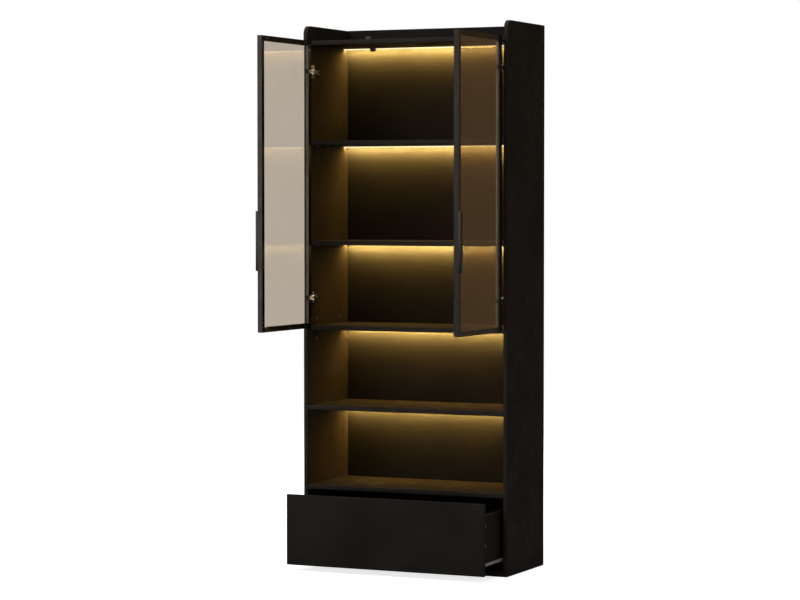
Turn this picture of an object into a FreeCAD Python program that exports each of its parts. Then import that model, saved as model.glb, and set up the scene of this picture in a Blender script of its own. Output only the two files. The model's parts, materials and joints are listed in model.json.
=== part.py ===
import math
import os

import FreeCAD
import Part
import Sketcher

# A tall bookcase with two framed glass doors, lit shelves and a drawer at its foot.
# Origin: the middle of the footprint, on the floor. X runs to the right, Y to the back, Z up.
# It is drawn with both doors swung open by a quarter turn and the drawer partly out.
# Left-hand pieces are modelled, and their right-hand twins are mirrored in the plane x = 0.

doc = FreeCAD.newDocument("Bookcase")
sheet = doc.addObject("Spreadsheet::Sheet", "Sizes")
nodes = []


# ---------------------------------------------------------------- sizes and formulas

class Size:
    """A length that carries both its value and the formula that binds it to the sheet."""

    def __init__(self, value, formula):
        self.value = value
        self.formula = formula

    def __add__(self, other):
        other = as_size(other)
        return Size(self.value + other.value, f"({self.formula} + {other.formula})")

    def __radd__(self, other):
        return as_size(other) + self

    def __sub__(self, other):
        other = as_size(other)
        return Size(self.value - other.value, f"({self.formula} - {other.formula})")

    def __rsub__(self, other):
        return as_size(other) - self

    def __mul__(self, other):
        other = as_size(other)
        return Size(self.value * other.value, f"({self.formula} * {other.formula})")

    def __rmul__(self, other):
        return as_size(other) * self

    def __truediv__(self, other):
        other = as_size(other)
        return Size(self.value / other.value, f"({self.formula} / {other.formula})")

    def __neg__(self):
        return Size(-self.value, f"(0 - {self.formula})")


def as_size(value):
    """A plain number as a Size, so that both can be used in one formula."""
    if isinstance(value, Size):
        return value
    return Size(float(value), f"({value})")


def size(alias, value, note):
    """Write one driving dimension into the sheet, in millimetres unless the note says otherwise."""
    row = len(sheet_rows) + 1
    sheet_rows.append(alias)
    sheet.set(f"A{row}", note)
    sheet.set(f"B{row}", str(value))
    sheet.setAlias(f"B{row}", alias)
    return Size(float(value), f"Sizes.{alias}")


sheet_rows = []

# The cabinet as a whole
unit_width = size("unit_width", 800, "overall width")
unit_depth = size("unit_depth", 350, "overall depth, doors and drawer closed")
unit_height = size("unit_height", 1960, "overall height")
side_thickness = size("side_thickness", 15, "side panel")
side_edge_bevel = size("side_edge_bevel", 1.5, "bevel of the side panels' front edges")
top_corner_radius = size("top_corner_radius", 30, "front top corner of the side panels")
board_thickness = size("board_thickness", 16, "shelves, top panel and drawer ceiling")
bottom_thickness = size("bottom_thickness", 18, "bottom panel")
board_edge_bevel = size("board_edge_bevel", 1, "bevel of the boards' front edges")
front_setback = size("front_setback", 20, "boards behind the doors, from the front")
back_thickness = size("back_thickness", 5, "back panel")
back_inset = size("back_inset", 7.5, "rear of the sides to the back panel")
back_tongue = size("back_tongue", 5, "back panel's hold in each side's groove")
back_lift = size("back_lift", 2, "back panel above the floor")
groove_play = size("groove_play", 0.2, "play round a panel in its groove")
joining_lap = size("joining_lap", 16, "back's joining strip over each of its two panels")
overrun = size("overrun", 1, "how far a cut runs out past the faces that it opens")

# Heights of the boards' undersides
gallery_height = size("gallery_height", 70, "top panel below the side panels' upper ends")
upper_shelf_step = size("upper_shelf_step", 362.5, "middle shelf to upper shelf")
middle_shelf_step = size("middle_shelf_step", 308, "fixed shelf to middle shelf")
fixed_shelf_height = size("fixed_shelf_height", 857, "fixed shelf under the doors")
open_shelf_height = size("open_shelf_height", 567.5, "open shelf")
drawer_ceiling_height = size("drawer_ceiling_height", 278, "board above the drawer")
seam_rise = size("seam_rise", 4, "joint of lower and upper sides above the fixed shelf's underside")

# Board joints: a bolt screwed into the side is pulled in by a cam set in the board
cam_radius = size("cam_radius", 7.5, "cam")
cam_depth = size("cam_depth", 12.5, "cam")
cam_inset = size("cam_inset", 24, "cam's centre from the board's end")
bolt_radius = size("bolt_radius", 2.5, "cam bolt")
bolt_hold = size("bolt_hold", 10, "cam bolt's thread in the panel that it is screwed into")
joint_column = size("joint_column", 77, "front column of holes from the front")
rear_column = size("rear_column", 77, "rear column of holes from the rear")
column_step = size("column_step", 32, "cam bolts from the dowels, towards the middle")
dowel_radius = size("dowel_radius", 4, "wooden dowel")
dowel_length = size("dowel_length", 30, "wooden dowel")
dowel_hold = size("dowel_hold", 10, "dowel's length in the side panel")
seam_cam_reach = size("seam_cam_reach", 37, "side panel cams from the seam")
shelf_pin_radius = size("shelf_pin_radius", 2.5, "shelf pin")
shelf_pin_hold = size("shelf_pin_hold", 10, "shelf pin's length in the side panel")
shelf_pin_reach = size("shelf_pin_reach", 8, "shelf pin's length under the shelf")
shelf_end_play = size("shelf_end_play", 0.5, "loose shelf to the side panel")
bore_play = size("bore_play", 0.15, "radial play of bolts, pins, dowels and cams")

# Light bars let into the undersides
bar_width = size("bar_width", 16, "light channel")
bar_depth = size("bar_depth", 7, "light channel, let into the board")
bar_wall = size("bar_wall", 1.2, "light channel's wall")
bar_rear_gap = size("bar_rear_gap", 21.5, "light channel to the back panel")
diffuser_drop = size("diffuser_drop", 3.5, "diffuser below the board")
diffuser_inner_gap = size("diffuser_inner_gap", 2.5, "strip's face to the diffuser")
strip_width = size("strip_width", 8, "light strip")
strip_thickness = size("strip_thickness", 1.5, "light strip")
sensor_width = size("sensor_width", 20, "light switch block")
sensor_depth = size("sensor_depth", 14, "light switch block")
sensor_drop = size("sensor_drop", 11, "light switch block below the top panel")
sensor_offset = size("sensor_offset", 126, "light switch block from the left side")
sensor_gap = size("sensor_gap", 2, "light switch block to the light channel behind it")
light_end_play = size("light_end_play", 1, "light bar's end to the side panel")

# Doors
door_side_gap = size("door_side_gap", 2, "door to the side panel")
door_centre_gap = size("door_centre_gap", 3, "between the closed doors")
door_lower_lap = size("door_lower_lap", 8, "door's lower end above the fixed shelf's underside")
door_upper_lap = size("door_upper_lap", 14, "door's upper end above the top panel's underside")
door_depth = size("door_depth", 18, "door frame, front to back")
frame_face = size("frame_face", 18, "door frame's face width")
frame_wall = size("frame_wall", 1.5, "door frame profile's wall")
frame_lip = size("frame_lip", 3.2, "front lip in front of the glass")
glass_thickness = size("glass_thickness", 4, "door glass")
glass_seat = size("glass_seat", 9, "glass's hold in the frame")
glass_groove_depth = size("glass_groove_depth", 10, "groove for the glass")
gasket_thickness = size("gasket_thickness", 0.8, "gasket behind the glass")
gasket_show = size("gasket_show", 0.6, "gasket seen past the frame")
door_angle = size("door_angle", 90, "degrees that the doors stand open")
pivot_inset = size("pivot_inset", 3, "turning axis outward of the side panel's inner face")
pivot_front = size("pivot_front", 5, "turning axis in front of the cabinet's front")
bracket_reach = size("bracket_reach", 48, "corner bracket's arm")
bracket_play = size("bracket_play", 0.2, "corner bracket in the frame's chamber")
corner_screw_radius = size("corner_screw_radius", 2.5, "headless corner screw")
corner_screw_inset = size("corner_screw_inset", 34, "corner screw from the door's end")
corner_screw_sink = size("corner_screw_sink", 0.3, "corner screw's end below the frame's inner face")
handle_rise = size("handle_rise", 216, "handle's lower end above the door's")
handle_length = size("handle_length", 210, "handle")
handle_reach = size("handle_reach", 8, "handle in front of the door")
handle_slope = size("handle_slope", 9, "length of the handle's sloped ends")
handle_hollow = size("handle_hollow", 3, "depth of the finger hollow along the handle")

# Door hinges: the link turns on a pin in the arm's nose and stays parallel to the door
hinge_inset = size("hinge_inset", 110, "hinge's centre from the door's end")
pin_inset = size("pin_inset", 16, "hinge pin from the side panel's inner face")
pin_depth = size("pin_depth", 13.5, "hinge pin behind the cabinet's front")
pin_radius = size("pin_radius", 1.5, "hinge pin")
pin_play = size("pin_play", 0.06, "link on its pin")
link_length = size("link_length", 38, "link, from its pin to its far end")
link_thickness = size("link_thickness", 7, "link, across its cheeks")
link_height = size("link_height", 14, "link, along the pin")
link_wall = size("link_wall", 1.5, "link's cheeks and web")
nose_play = size("nose_play", 0.4, "arm's nose to each cheek of the link")
arm_height = size("arm_height", 21, "hinge arm")
arm_front = size("arm_front", 19, "front of the hinge arm's body")
arm_knuckle = size("arm_knuckle", 6, "thick front end of the hinge arm")
arm_slope = size("arm_slope", 18, "hinge arm's front to the end of its outer slope")
arm_heel = size("arm_heel", 10, "hinge arm's front to the end of its inner slope")
arm_rear = size("arm_rear", 76, "rear of the hinge arm's body")
arm_top = size("arm_top", 14, "hinge arm's face from the side panel")
arm_bevel = size("arm_bevel", 2, "bevel of the hinge arm's edges")
arm_slot_length = size("arm_slot_length", 16, "slot for the holding screw in the arm's rear")
arm_slot_play = size("arm_slot_play", 1, "holding screw's head in its slot")
plate_front = size("plate_front", 28, "front of the mounting plate's wings")
plate_bevel = size("plate_bevel", 3, "bevel of the mounting plate's corners")
plate_width = size("plate_width", 30, "mounting plate's wings, front to back")
plate_height = size("plate_height", 51, "mounting plate over its wings")
plate_thickness = size("plate_thickness", 2.5, "mounting plate's wings")
saddle_thickness = size("saddle_thickness", 5, "mounting plate's saddle under the arm")
saddle_lead = size("saddle_lead", 2, "saddle in front of the plate's wings")
saddle_inset = size("saddle_inset", 3, "saddle's rear end under the arm's")
plate_screw_pitch = size("plate_screw_pitch", 32, "between the plate's screws")
notch_floor = size("notch_floor", 8.8, "depth left in the stile in front of the hinge notch")
notch_height = size("notch_height", 17, "hinge notch in the stile")
cup_wall = size("cup_wall", 0.9, "hinge cup lining the notch")

# Screws of the hinge plates and the runners
euro_radius = size("euro_radius", 2.5, "plate and runner screw")
euro_length = size("euro_length", 10, "plate and runner screw in the side panel")
euro_head_radius = size("euro_head_radius", 3.8, "plate and runner screw's head")
euro_head_height = size("euro_head_height", 1.6, "plate and runner screw's head")

# Drawer
drawer_out = size("drawer_out", 172, "how far the drawer stands out")
drawer_gap_side = size("drawer_gap_side", 2, "drawer front to the side panel")
drawer_gap_below = size("drawer_gap_below", 4, "drawer front to the bottom panel")
drawer_gap_above = size("drawer_gap_above", 3, "drawer front to the board above")
drawer_front_thickness = size("drawer_front_thickness", 16, "drawer front")
drawer_rear_gap = size("drawer_rear_gap", 21.5, "closed drawer to the back panel")
drawer_board = size("drawer_board", 12, "drawer side and back")
drawer_side_bottom = size("drawer_side_bottom", 55, "drawer side's lower edge above the floor")
drawer_side_top = size("drawer_side_top", 233, "drawer side's upper edge above the floor")
drawer_back_drop = size("drawer_back_drop", 10, "drawer back below the sides' upper edge")
drawer_floor_height = size("drawer_floor_height", 66, "drawer bottom's underside above the floor")
drawer_floor_thickness = size("drawer_floor_thickness", 3, "drawer bottom")
drawer_groove = size("drawer_groove", 6, "groove that holds the drawer bottom")
drawer_cam_low = size("drawer_cam_low", 123, "lower cam in the drawer side above the floor")
drawer_cam_high = size("drawer_cam_high", 193, "upper cam in the drawer side above the floor")
drawer_cam_depth = size("drawer_cam_depth", 9, "cam in the drawer side")
drawer_screw_length = size("drawer_screw_length", 30, "screw through a drawer side into the back")
slide_room = size("slide_room", 12.5, "room for the slides on each side of the drawer")

# Roller slides
slide_metal = size("slide_metal", 1.2, "sheet of the slides, the runners and the back's joining strip")
slide_strip = size("slide_strip", 11, "slide's web on the drawer side")
slide_foot = size("slide_foot", 12, "slide's foot under the drawer side")
roller_radius = size("roller_radius", 8, "slide roller")
roller_width = size("roller_width", 6, "slide roller")
roller_side_gap = size("roller_side_gap", 2.4, "roller to the web that carries it")
roller_rim_play = size("roller_rim_play", 0.3, "roller to the flange it runs on")
roller_axle_radius = size("roller_axle_radius", 2, "roller's axle")
roller_axle_play = size("roller_axle_play", 0.08, "roller on its axle")
roller_step = size("roller_step", 2, "rear roller's axle below the front roller's")
runner_setback = size("runner_setback", 18.5, "runner's front end from the cabinet's front")
runner_rear_gap = size("runner_rear_gap", 19, "runner's rear end to the back panel")
runner_headroom = size("runner_headroom", 4, "runner's upper flange above the slide's track")
runner_lip = size("runner_lip", 10.5, "runner's flanges, out from the side panel")
front_roller_inset = size("front_roller_inset", 11, "front roller's axle from the runner's front")
rear_roller_inset = size("rear_roller_inset", 12, "rear roller's axle from the slide's rear end")
runner_screw_front = size("runner_screw_front", 46, "runner's first screw from its front end")
runner_screw_pitch = size("runner_screw_pitch", 192, "between the runner's screws")

# Wall brackets behind the gallery
bracket_spacing = size("bracket_spacing", 600, "between the two wall brackets")
bracket_width = size("bracket_width", 20, "wall bracket")
bracket_leg = size("bracket_leg", 32, "each leg of a wall bracket")
bracket_metal = size("bracket_metal", 2, "wall bracket's sheet")
bracket_bend = size("bracket_bend", 1, "bevel of the wall bracket's bend")
bracket_hole_radius = size("bracket_hole_radius", 2.25, "screw hole in a wall bracket")
bracket_hole_drop = size("bracket_hole_drop", 20, "screw hole from the bracket's heel")

doc.recompute()

# Places that several pieces share
FRONT = -unit_depth / 2
REAR = unit_depth / 2
INNER = unit_width / 2 - side_thickness
BACK_FACE = REAR - back_inset - back_thickness
BOARD_LENGTH = 2 * INNER
TOP_HEIGHT = unit_height - gallery_height
MIDDLE_SHELF_HEIGHT = fixed_shelf_height + middle_shelf_step
UPPER_SHELF_HEIGHT = MIDDLE_SHELF_HEIGHT + upper_shelf_step
SEAM_HEIGHT = fixed_shelf_height + seam_rise
CAM_ROWS = (FRONT + joint_column + column_step, REAR - rear_column - column_step)
DOWEL_ROWS = (FRONT + joint_column, REAR - rear_column)
FIXED_BOARDS = (TOP_HEIGHT, fixed_shelf_height, open_shelf_height, drawer_ceiling_height)
DOWELLED_BOARDS = (TOP_HEIGHT, open_shelf_height, drawer_ceiling_height)
LOOSE_SHELVES = (UPPER_SHELF_HEIGHT, MIDDLE_SHELF_HEIGHT)
LIT_BOARDS = (TOP_HEIGHT, UPPER_SHELF_HEIGHT, MIDDLE_SHELF_HEIGHT, fixed_shelf_height,
              open_shelf_height)
DOOR_WIDTH = INNER - door_side_gap - door_centre_gap / 2
DOOR_BOTTOM = fixed_shelf_height + door_lower_lap
DOOR_TOP = TOP_HEIGHT + door_upper_lap
HINGE_HEIGHTS = (DOOR_BOTTOM + hinge_inset, DOOR_TOP - hinge_inset)
GLASS_REAR = frame_lip + glass_thickness
POCKET_REAR = GLASS_REAR + gasket_thickness
DRAWER_FACE = FRONT - drawer_out
DRAWER_BOX_FRONT = DRAWER_FACE + drawer_front_thickness
DRAWER_BOX_LENGTH = BACK_FACE - FRONT - drawer_front_thickness - drawer_rear_gap
DRAWER_BOX_REAR = DRAWER_BOX_FRONT + DRAWER_BOX_LENGTH
DRAWER_BOX_SIDE = INNER - slide_room
FRONT_BOTTOM = bottom_thickness + drawer_gap_below
FRONT_TOP = drawer_ceiling_height - drawer_gap_above
SLIDE_FOOT_BOTTOM = drawer_side_bottom - slide_metal
TRACK_TOP = SLIDE_FOOT_BOTTOM + slide_strip
TRACK_UNDERSIDE = TRACK_TOP - slide_metal
FRONT_ROLLER_HEIGHT = TRACK_UNDERSIDE - roller_rim_play - roller_radius
RUNNER_FRONT = FRONT + runner_setback
RUNNER_LENGTH = BACK_FACE - RUNNER_FRONT - runner_rear_gap
FRONT_ROLLER_Y = RUNNER_FRONT + front_roller_inset
REAR_ROLLER_Y = DRAWER_BOX_REAR - rear_roller_inset
REAR_ROLLER_HEIGHT = FRONT_ROLLER_HEIGHT - roller_step
RUNNER_BOTTOM = REAR_ROLLER_HEIGHT - roller_radius - roller_rim_play - slide_metal
RUNNER_TOP = TRACK_TOP + runner_headroom


# ---------------------------------------------------------------- building blocks

def bind(thing, **formulas):
    """Bind properties to formulas; a double underscore in a name stands for a dot."""
    for name, formula in formulas.items():
        thing.setExpression(name.replace("__", "."), as_size(formula).formula)


def place(thing, x=0, y=0, z=0):
    """Put a piece's own origin at a point worked out from the sizes."""
    bind(thing, Placement__Base__x=x, Placement__Base__y=y, Placement__Base__z=z)
    return thing


def node(thing, label):
    """Keep an object as a sub-part under its own name."""
    thing.Label = label
    nodes.append(thing)
    return thing


def box(name, corner, lengths):
    """A block from its lowest corner."""
    thing = doc.addObject("Part::Box", name)
    bind(thing, Length=lengths[0], Width=lengths[1], Height=lengths[2])
    return place(thing, *corner)


ALONG = {
    "x": FreeCAD.Rotation(FreeCAD.Vector(1, 1, 1), 120),
    "y": FreeCAD.Rotation(FreeCAD.Vector(1, 0, 0), -90),
    "z": FreeCAD.Rotation(),
}
# Sides of the small round pieces that repeat, and of the holes that take them
STEM_SIDES = 6
DISC_SIDES = 8
PIVOT_SIDES = 12


def round_rod(name, start, length, radius, along):
    """A round bar from its start point towards +x, +y or +z."""
    thing = doc.addObject("Part::Cylinder", name)
    bind(thing, Radius=radius, Height=length)
    thing.Placement.Rotation = ALONG[along]
    return place(thing, *start)


def rod(name, start, length, radius, along, sides=STEM_SIDES):
    """A plain bar with few sides, for the small round pieces that repeat."""
    thing = doc.addObject("Part::Prism", name)
    thing.Polygon = sides
    bind(thing, Circumradius=radius, Height=length)
    first_corner = FreeCAD.Rotation(FreeCAD.Vector(0, 0, 1), 180 / sides)
    thing.Placement.Rotation = ALONG[along].multiply(first_corner)
    return place(thing, *start)


def round_inside(radius, sides):
    """The corner radius of a few-sided hole that a round pin of this radius just fills."""
    return radius / round(math.cos(math.pi / sides), 6)


def fuse(name, pieces):
    """Several blocks as one solid."""
    thing = doc.addObject("Part::MultiFuse", name)
    thing.Shapes = pieces
    return thing


def group(name, pieces):
    """Several solids kept apart in one object."""
    thing = doc.addObject("Part::Compound", name)
    thing.Links = pieces
    return thing


def cut(name, base, tool):
    """One object less another."""
    thing = doc.addObject("Part::Cut", name)
    thing.Base = base
    thing.Tool = tool
    return thing


def mirrored(name, source):
    """The right-hand twin of a left-hand piece."""
    thing = doc.addObject("Part::Mirroring", name)
    thing.Source = source
    thing.Normal = FreeCAD.Vector(1, 0, 0)
    return thing


def new_body(name):
    return doc.addObject("PartDesign::Body", name)


def sketch_on(body, role, lift=0):
    """A sketch on one of the body's own origin planes, lifted along the plane's normal."""
    sketch = body.newObject("Sketcher::SketchObject", body.Name + "Sketch")
    origin_plane = next(f for f in body.Origin.OriginFeatures if f.Role == role)
    sketch.AttachmentSupport = [(origin_plane, "")]
    sketch.MapMode = "FlatFace"
    bind(sketch, AttachmentOffset__Base__z=lift)
    return sketch


def fix_point(sketch, geometry, point, x, y):
    """Hold one point of a sketch at a place worked out from the sizes."""
    for kind, formula in (("DistanceX", as_size(x)), ("DistanceY", as_size(y))):
        held = Sketcher.Constraint(kind, -1, 1, geometry, point, formula.value)
        number = sketch.addConstraint(held)
        sketch.setExpression(f"Constraints[{number}]", formula.formula)


def outline(sketch, corners):
    """A closed outline of straight lines through the corners."""
    corners = [(as_size(x), as_size(y)) for x, y in corners]
    first = sketch.GeometryCount
    for start, end in zip(corners, corners[1:] + corners[:1]):
        ends = [FreeCAD.Vector(x.value, y.value, 0) for x, y in (start, end)]
        sketch.addGeometry(Part.LineSegment(*ends))
    for index, (x, y) in enumerate(corners):
        following = first + (index + 1) % len(corners)
        sketch.addConstraint(Sketcher.Constraint("Coincident", first + index, 2, following, 1))
        fix_point(sketch, first + index, 1, x, y)
    return sketch


def rectangle(sketch, low, high):
    """A rectangle between two opposite corners."""
    (x0, y0), (x1, y1) = low, high
    return outline(sketch, [(x0, y0), (x1, y0), (x1, y1), (x0, y1)])


def few_sided(sketch, centres, radius, sides=STEM_SIDES):
    """Equal regular outlines with the corners of the rods that go into them."""
    for x, y in centres:
        corners = []
        for number in range(sides):
            angle = math.pi * (2 * number + 1) / sides
            corners.append((x + radius * round(math.cos(angle), 6),
                            y + radius * round(math.sin(angle), 6)))
        outline(sketch, corners)
    return sketch


def circles(sketch, centres, radius):
    """Equal circles at the given centres."""
    radius = as_size(radius)
    for x, y in centres:
        x, y = as_size(x), as_size(y)
        middle = FreeCAD.Vector(x.value, y.value, 0)
        ring = sketch.addGeometry(Part.Circle(middle, FreeCAD.Vector(0, 0, 1), radius.value))
        fix_point(sketch, ring, 3, x, y)
        number = sketch.addConstraint(Sketcher.Constraint("Radius", ring, radius.value))
        sketch.setExpression(f"Constraints[{number}]", radius.formula)
    return sketch


def pad(body, sketch, length, direction="along"):
    """Raise a sketch along its normal, against it, or by half to each side."""
    feature = body.newObject("PartDesign::Pad", body.Name + "Pad")
    feature.Profile = sketch
    feature.Reversed = direction == "against"
    feature.SideType = "Symmetric" if direction == "both" else "One side"
    bind(feature, Length=length)
    doc.recompute()
    return body


def pocket(body, sketch, depth, direction="along"):
    """Cut a sketch along its normal, against it, or through to both sides, and see that it cuts."""
    before = body.Tip.Shape.Volume
    feature = body.newObject("PartDesign::Pocket", body.Name + "Pocket")
    feature.Profile = sketch
    feature.Reversed = direction == "along"
    feature.SideType = "Symmetric" if direction == "both" else "One side"
    bind(feature, Length=depth)
    doc.recompute()
    if not body.Tip.Shape.Volume < before:
        raise RuntimeError(f"{feature.Name} cuts nothing")
    return body


def bores(body, role, lift, centres, radius, depth, direction, sides=STEM_SIDES):
    """Few-sided holes from a face of the body."""
    sketch = few_sided(sketch_on(body, role, lift), centres, as_size(radius), sides)
    return pocket(body, sketch, depth, direction)


def middle_of(edge):
    return edge.valueAt((edge.FirstParameter + edge.LastParameter) / 2)


def chosen_edges(body, wanted):
    """The body's edges that pass the test on the edge and its middle point."""
    names = []
    for number, edge in enumerate(body.Tip.Shape.Edges, start=1):
        if wanted(edge, middle_of(edge)):
            names.append(f"Edge{number}")
    return body.Tip, names


def round_off(body, radius, wanted):
    """Round the chosen edges."""
    chosen = chosen_edges(body, wanted)
    feature = body.newObject("PartDesign::Fillet", body.Name + "Fillet")
    feature.Base = chosen
    bind(feature, Radius=radius)
    doc.recompute()
    return body


def bevel(body, width, wanted):
    """Take the chosen edges off at 45 degrees."""
    chosen = chosen_edges(body, wanted)
    feature = body.newObject("PartDesign::Chamfer", body.Name + "Chamfer")
    feature.Base = chosen
    bind(feature, Size=width)
    doc.recompute()
    return body


def near(value, target):
    return abs(value - as_size(target).value) < 0.01


# ---------------------------------------------------------------- the cabinet's sides

def middle_height(underside):
    """Mid-thickness of a board, where its bolts and dowels lie."""
    return underside + board_thickness / 2


SIDE_CAM_COLUMNS = (joint_column + column_step, unit_depth - rear_column - column_step)
SIDE_DOWEL_COLUMNS = (joint_column, unit_depth - rear_column)
PLATE_SCREW_Y = plate_front + plate_width / 2
RUNNER_SCREW_COLUMNS = (runner_setback + runner_screw_front,
                        runner_setback + runner_screw_front + runner_screw_pitch)
RUNNER_SCREW_HEIGHT = (RUNNER_BOTTOM + RUNNER_TOP) / 2


def pin_height(underside):
    """Where a shelf pin lies, so that the loose shelf rests on it."""
    return underside - shelf_pin_radius - bore_play


def plate_screw_heights():
    heights = []
    for height in HINGE_HEIGHTS:
        heights += [height - plate_screw_pitch / 2, height + plate_screw_pitch / 2]
    return heights


def grid(columns, rows):
    return [(column, row) for row in rows for column in columns]


def side_panel(name, bottom, top, seam_end, cam_height, board_mids, dowel_mids, screws, pins):
    """A left side panel; its own origin is at the foot of the inner face's front edge."""
    body = place(new_body(name), -INNER, FRONT)
    rectangle(sketch_on(body, "YZ_Plane"), (0, bottom), (unit_depth, top))
    pad(body, body.Group[-1], side_thickness, "against")
    if seam_end == "bottom":
        round_off(body, top_corner_radius, lambda e, m: near(m.y, 0) and near(m.z, top))
    bevel(body, side_edge_bevel, lambda e, m: near(m.y, 0) and e.Length > top_corner_radius.value)
    groove_front = unit_depth - back_inset - back_thickness - groove_play
    groove = sketch_on(body, "YZ_Plane")
    rectangle(groove, (groove_front, bottom), (unit_depth - back_inset + groove_play, top))
    pocket(body, groove, back_tongue + groove_play, "against")
    for centres, radius, depth in (
            (grid(SIDE_CAM_COLUMNS, board_mids), bolt_radius, bolt_hold),
            (pins, shelf_pin_radius, shelf_pin_hold),
            (screws, euro_radius, euro_length),
            (grid(SIDE_DOWEL_COLUMNS, dowel_mids), dowel_radius, dowel_hold)):
        if centres:
            bores(body, "YZ_Plane", 0, centres, radius + bore_play, depth + bore_play, "against")
    bores(body, "YZ_Plane", 0, grid(SIDE_DOWEL_COLUMNS, [cam_height]), cam_radius, cam_depth,
          "against", DISC_SIDES)
    direction = "along" if seam_end == "bottom" else "against"
    middle = -side_thickness / 2
    bores(body, "XY_Plane", SEAM_HEIGHT, grid([middle], SIDE_DOWEL_COLUMNS),
          bolt_radius + bore_play, seam_cam_reach, direction)
    bores(body, "XY_Plane", SEAM_HEIGHT, [(middle, unit_depth / 2)], dowel_radius + bore_play,
          dowel_length / 2 + bore_play, direction)
    return body


def make_sides():
    pins = grid(SIDE_DOWEL_COLUMNS, [pin_height(underside) for underside in LOOSE_SHELVES])
    lower_boards = [bottom_thickness / 2, middle_height(drawer_ceiling_height),
                    middle_height(open_shelf_height)]
    lower = side_panel(
        "SideLower", 0, SEAM_HEIGHT, "top", SEAM_HEIGHT - seam_cam_reach, lower_boards,
        lower_boards, grid(RUNNER_SCREW_COLUMNS, [RUNNER_SCREW_HEIGHT]), [])
    top_board = middle_height(TOP_HEIGHT)
    upper = side_panel(
        "SideUpper", SEAM_HEIGHT, unit_height, "bottom", SEAM_HEIGHT + seam_cam_reach,
        [middle_height(fixed_shelf_height), top_board], [top_board],
        grid([PLATE_SCREW_Y], plate_screw_heights()), pins)
    node(lower, "side_panel_left_lower")
    node(upper, "side_panel_left_upper")
    node(mirrored("SideLowerRight", lower), "side_panel_right_lower")
    node(mirrored("SideUpperRight", upper), "side_panel_right_upper")


# ---------------------------------------------------------------- boards and back

BAR_REAR = BACK_FACE - bar_rear_gap
BAR_FRONT = BAR_REAR - bar_width


def board(name, underside, thickness, front, fixed, dowelled, lit):
    """A board between the sides, less its cam bores, end bores and light groove."""
    length = BOARD_LENGTH if fixed else BOARD_LENGTH - 2 * shelf_end_play
    body = place(new_body(name), 0, 0, underside)
    corners = [(front, 0), (BACK_FACE, 0), (BACK_FACE, thickness), (front, thickness)]
    if lit:
        groove = [(BAR_FRONT, 0), (BAR_FRONT, bar_depth), (BAR_REAR, bar_depth), (BAR_REAR, 0)]
        corners[1:1] = groove
    outline(sketch_on(body, "YZ_Plane"), corners)
    pad(body, body.Group[-1], length, "both")
    bevel(body, board_edge_bevel, lambda e, m: near(m.y, front) and near(e.Length, length))
    if not fixed:
        return body
    cam_x = INNER - cam_inset
    bores(body, "XY_Plane", 0, grid([-cam_x, cam_x], CAM_ROWS), cam_radius, cam_depth, "along",
          DISC_SIDES)
    for end, direction in ((INNER, "against"), (-INNER, "along")):
        bores(body, "YZ_Plane", end, grid(CAM_ROWS, [thickness / 2]), bolt_radius + bore_play,
              cam_inset, direction)
        if dowelled:
            bores(body, "YZ_Plane", end, grid(DOWEL_ROWS, [thickness / 2]),
                  dowel_radius + bore_play, dowel_length - dowel_hold + bore_play, direction)
    return body


def make_boards():
    behind = FRONT + front_setback
    plans = (
        ("top_panel", TOP_HEIGHT, board_thickness, behind, True, True, True),
        ("upper_shelf", UPPER_SHELF_HEIGHT, board_thickness, behind, False, False, True),
        ("middle_shelf", MIDDLE_SHELF_HEIGHT, board_thickness, behind, False, False, True),
        ("fixed_shelf", fixed_shelf_height, board_thickness, behind, True, False, True),
        ("open_shelf", open_shelf_height, board_thickness, FRONT, True, True, True),
        ("drawer_ceiling", drawer_ceiling_height, board_thickness, FRONT, True, True, False),
        ("bottom_panel", as_size(0), bottom_thickness, FRONT, True, True, False),
    )
    for label, *plan in plans:
        node(board("Board", *plan), label)


def make_back():
    """The back's two panels, held in the sides' grooves, and the strip that joins them."""
    half = INNER + back_tongue
    web = slide_metal
    upper = box("BackUpper", (-half, BACK_FACE, SEAM_HEIGHT + web / 2),
                (2 * half, back_thickness, unit_height - SEAM_HEIGHT - web / 2))
    holes = []
    for side in (-1, 1):
        start = (side * bracket_spacing / 2, BACK_FACE - overrun,
                 TOP_HEIGHT + board_thickness + bracket_hole_drop)
        holes.append(rod("BackHole", start, back_thickness + 2 * overrun,
                         round_inside(bracket_hole_radius, DISC_SIDES), "y", DISC_SIDES))
    node(cut("BackUpperBored", upper, group("BackHoles", holes)), "back_panel_upper")
    lower = box("BackLower", (-half, BACK_FACE, back_lift),
                (2 * half, back_thickness, SEAM_HEIGHT - web / 2 - back_lift))
    node(lower, "back_panel_lower")
    strip = new_body("BackStrip")
    rear = BACK_FACE + back_thickness
    outline(sketch_on(strip, "YZ_Plane"), [
        (BACK_FACE, SEAM_HEIGHT - web / 2), (rear, SEAM_HEIGHT - web / 2),
        (rear, SEAM_HEIGHT - joining_lap), (rear + web, SEAM_HEIGHT - joining_lap),
        (rear + web, SEAM_HEIGHT + joining_lap), (rear, SEAM_HEIGHT + joining_lap),
        (rear, SEAM_HEIGHT + web / 2), (BACK_FACE, SEAM_HEIGHT + web / 2)])
    pad(strip, strip.Group[-1], BOARD_LENGTH - 2 * shelf_end_play, "both")
    node(strip, "back_joining_strip")


# ---------------------------------------------------------------- joint fittings

def board_middle(underside):
    """Where a board's bolts lie; the bottom panel has a thickness of its own."""
    return bottom_thickness / 2 if underside.value == 0 else middle_height(underside)


MOUTH_HALF = bolt_radius + bore_play


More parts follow.
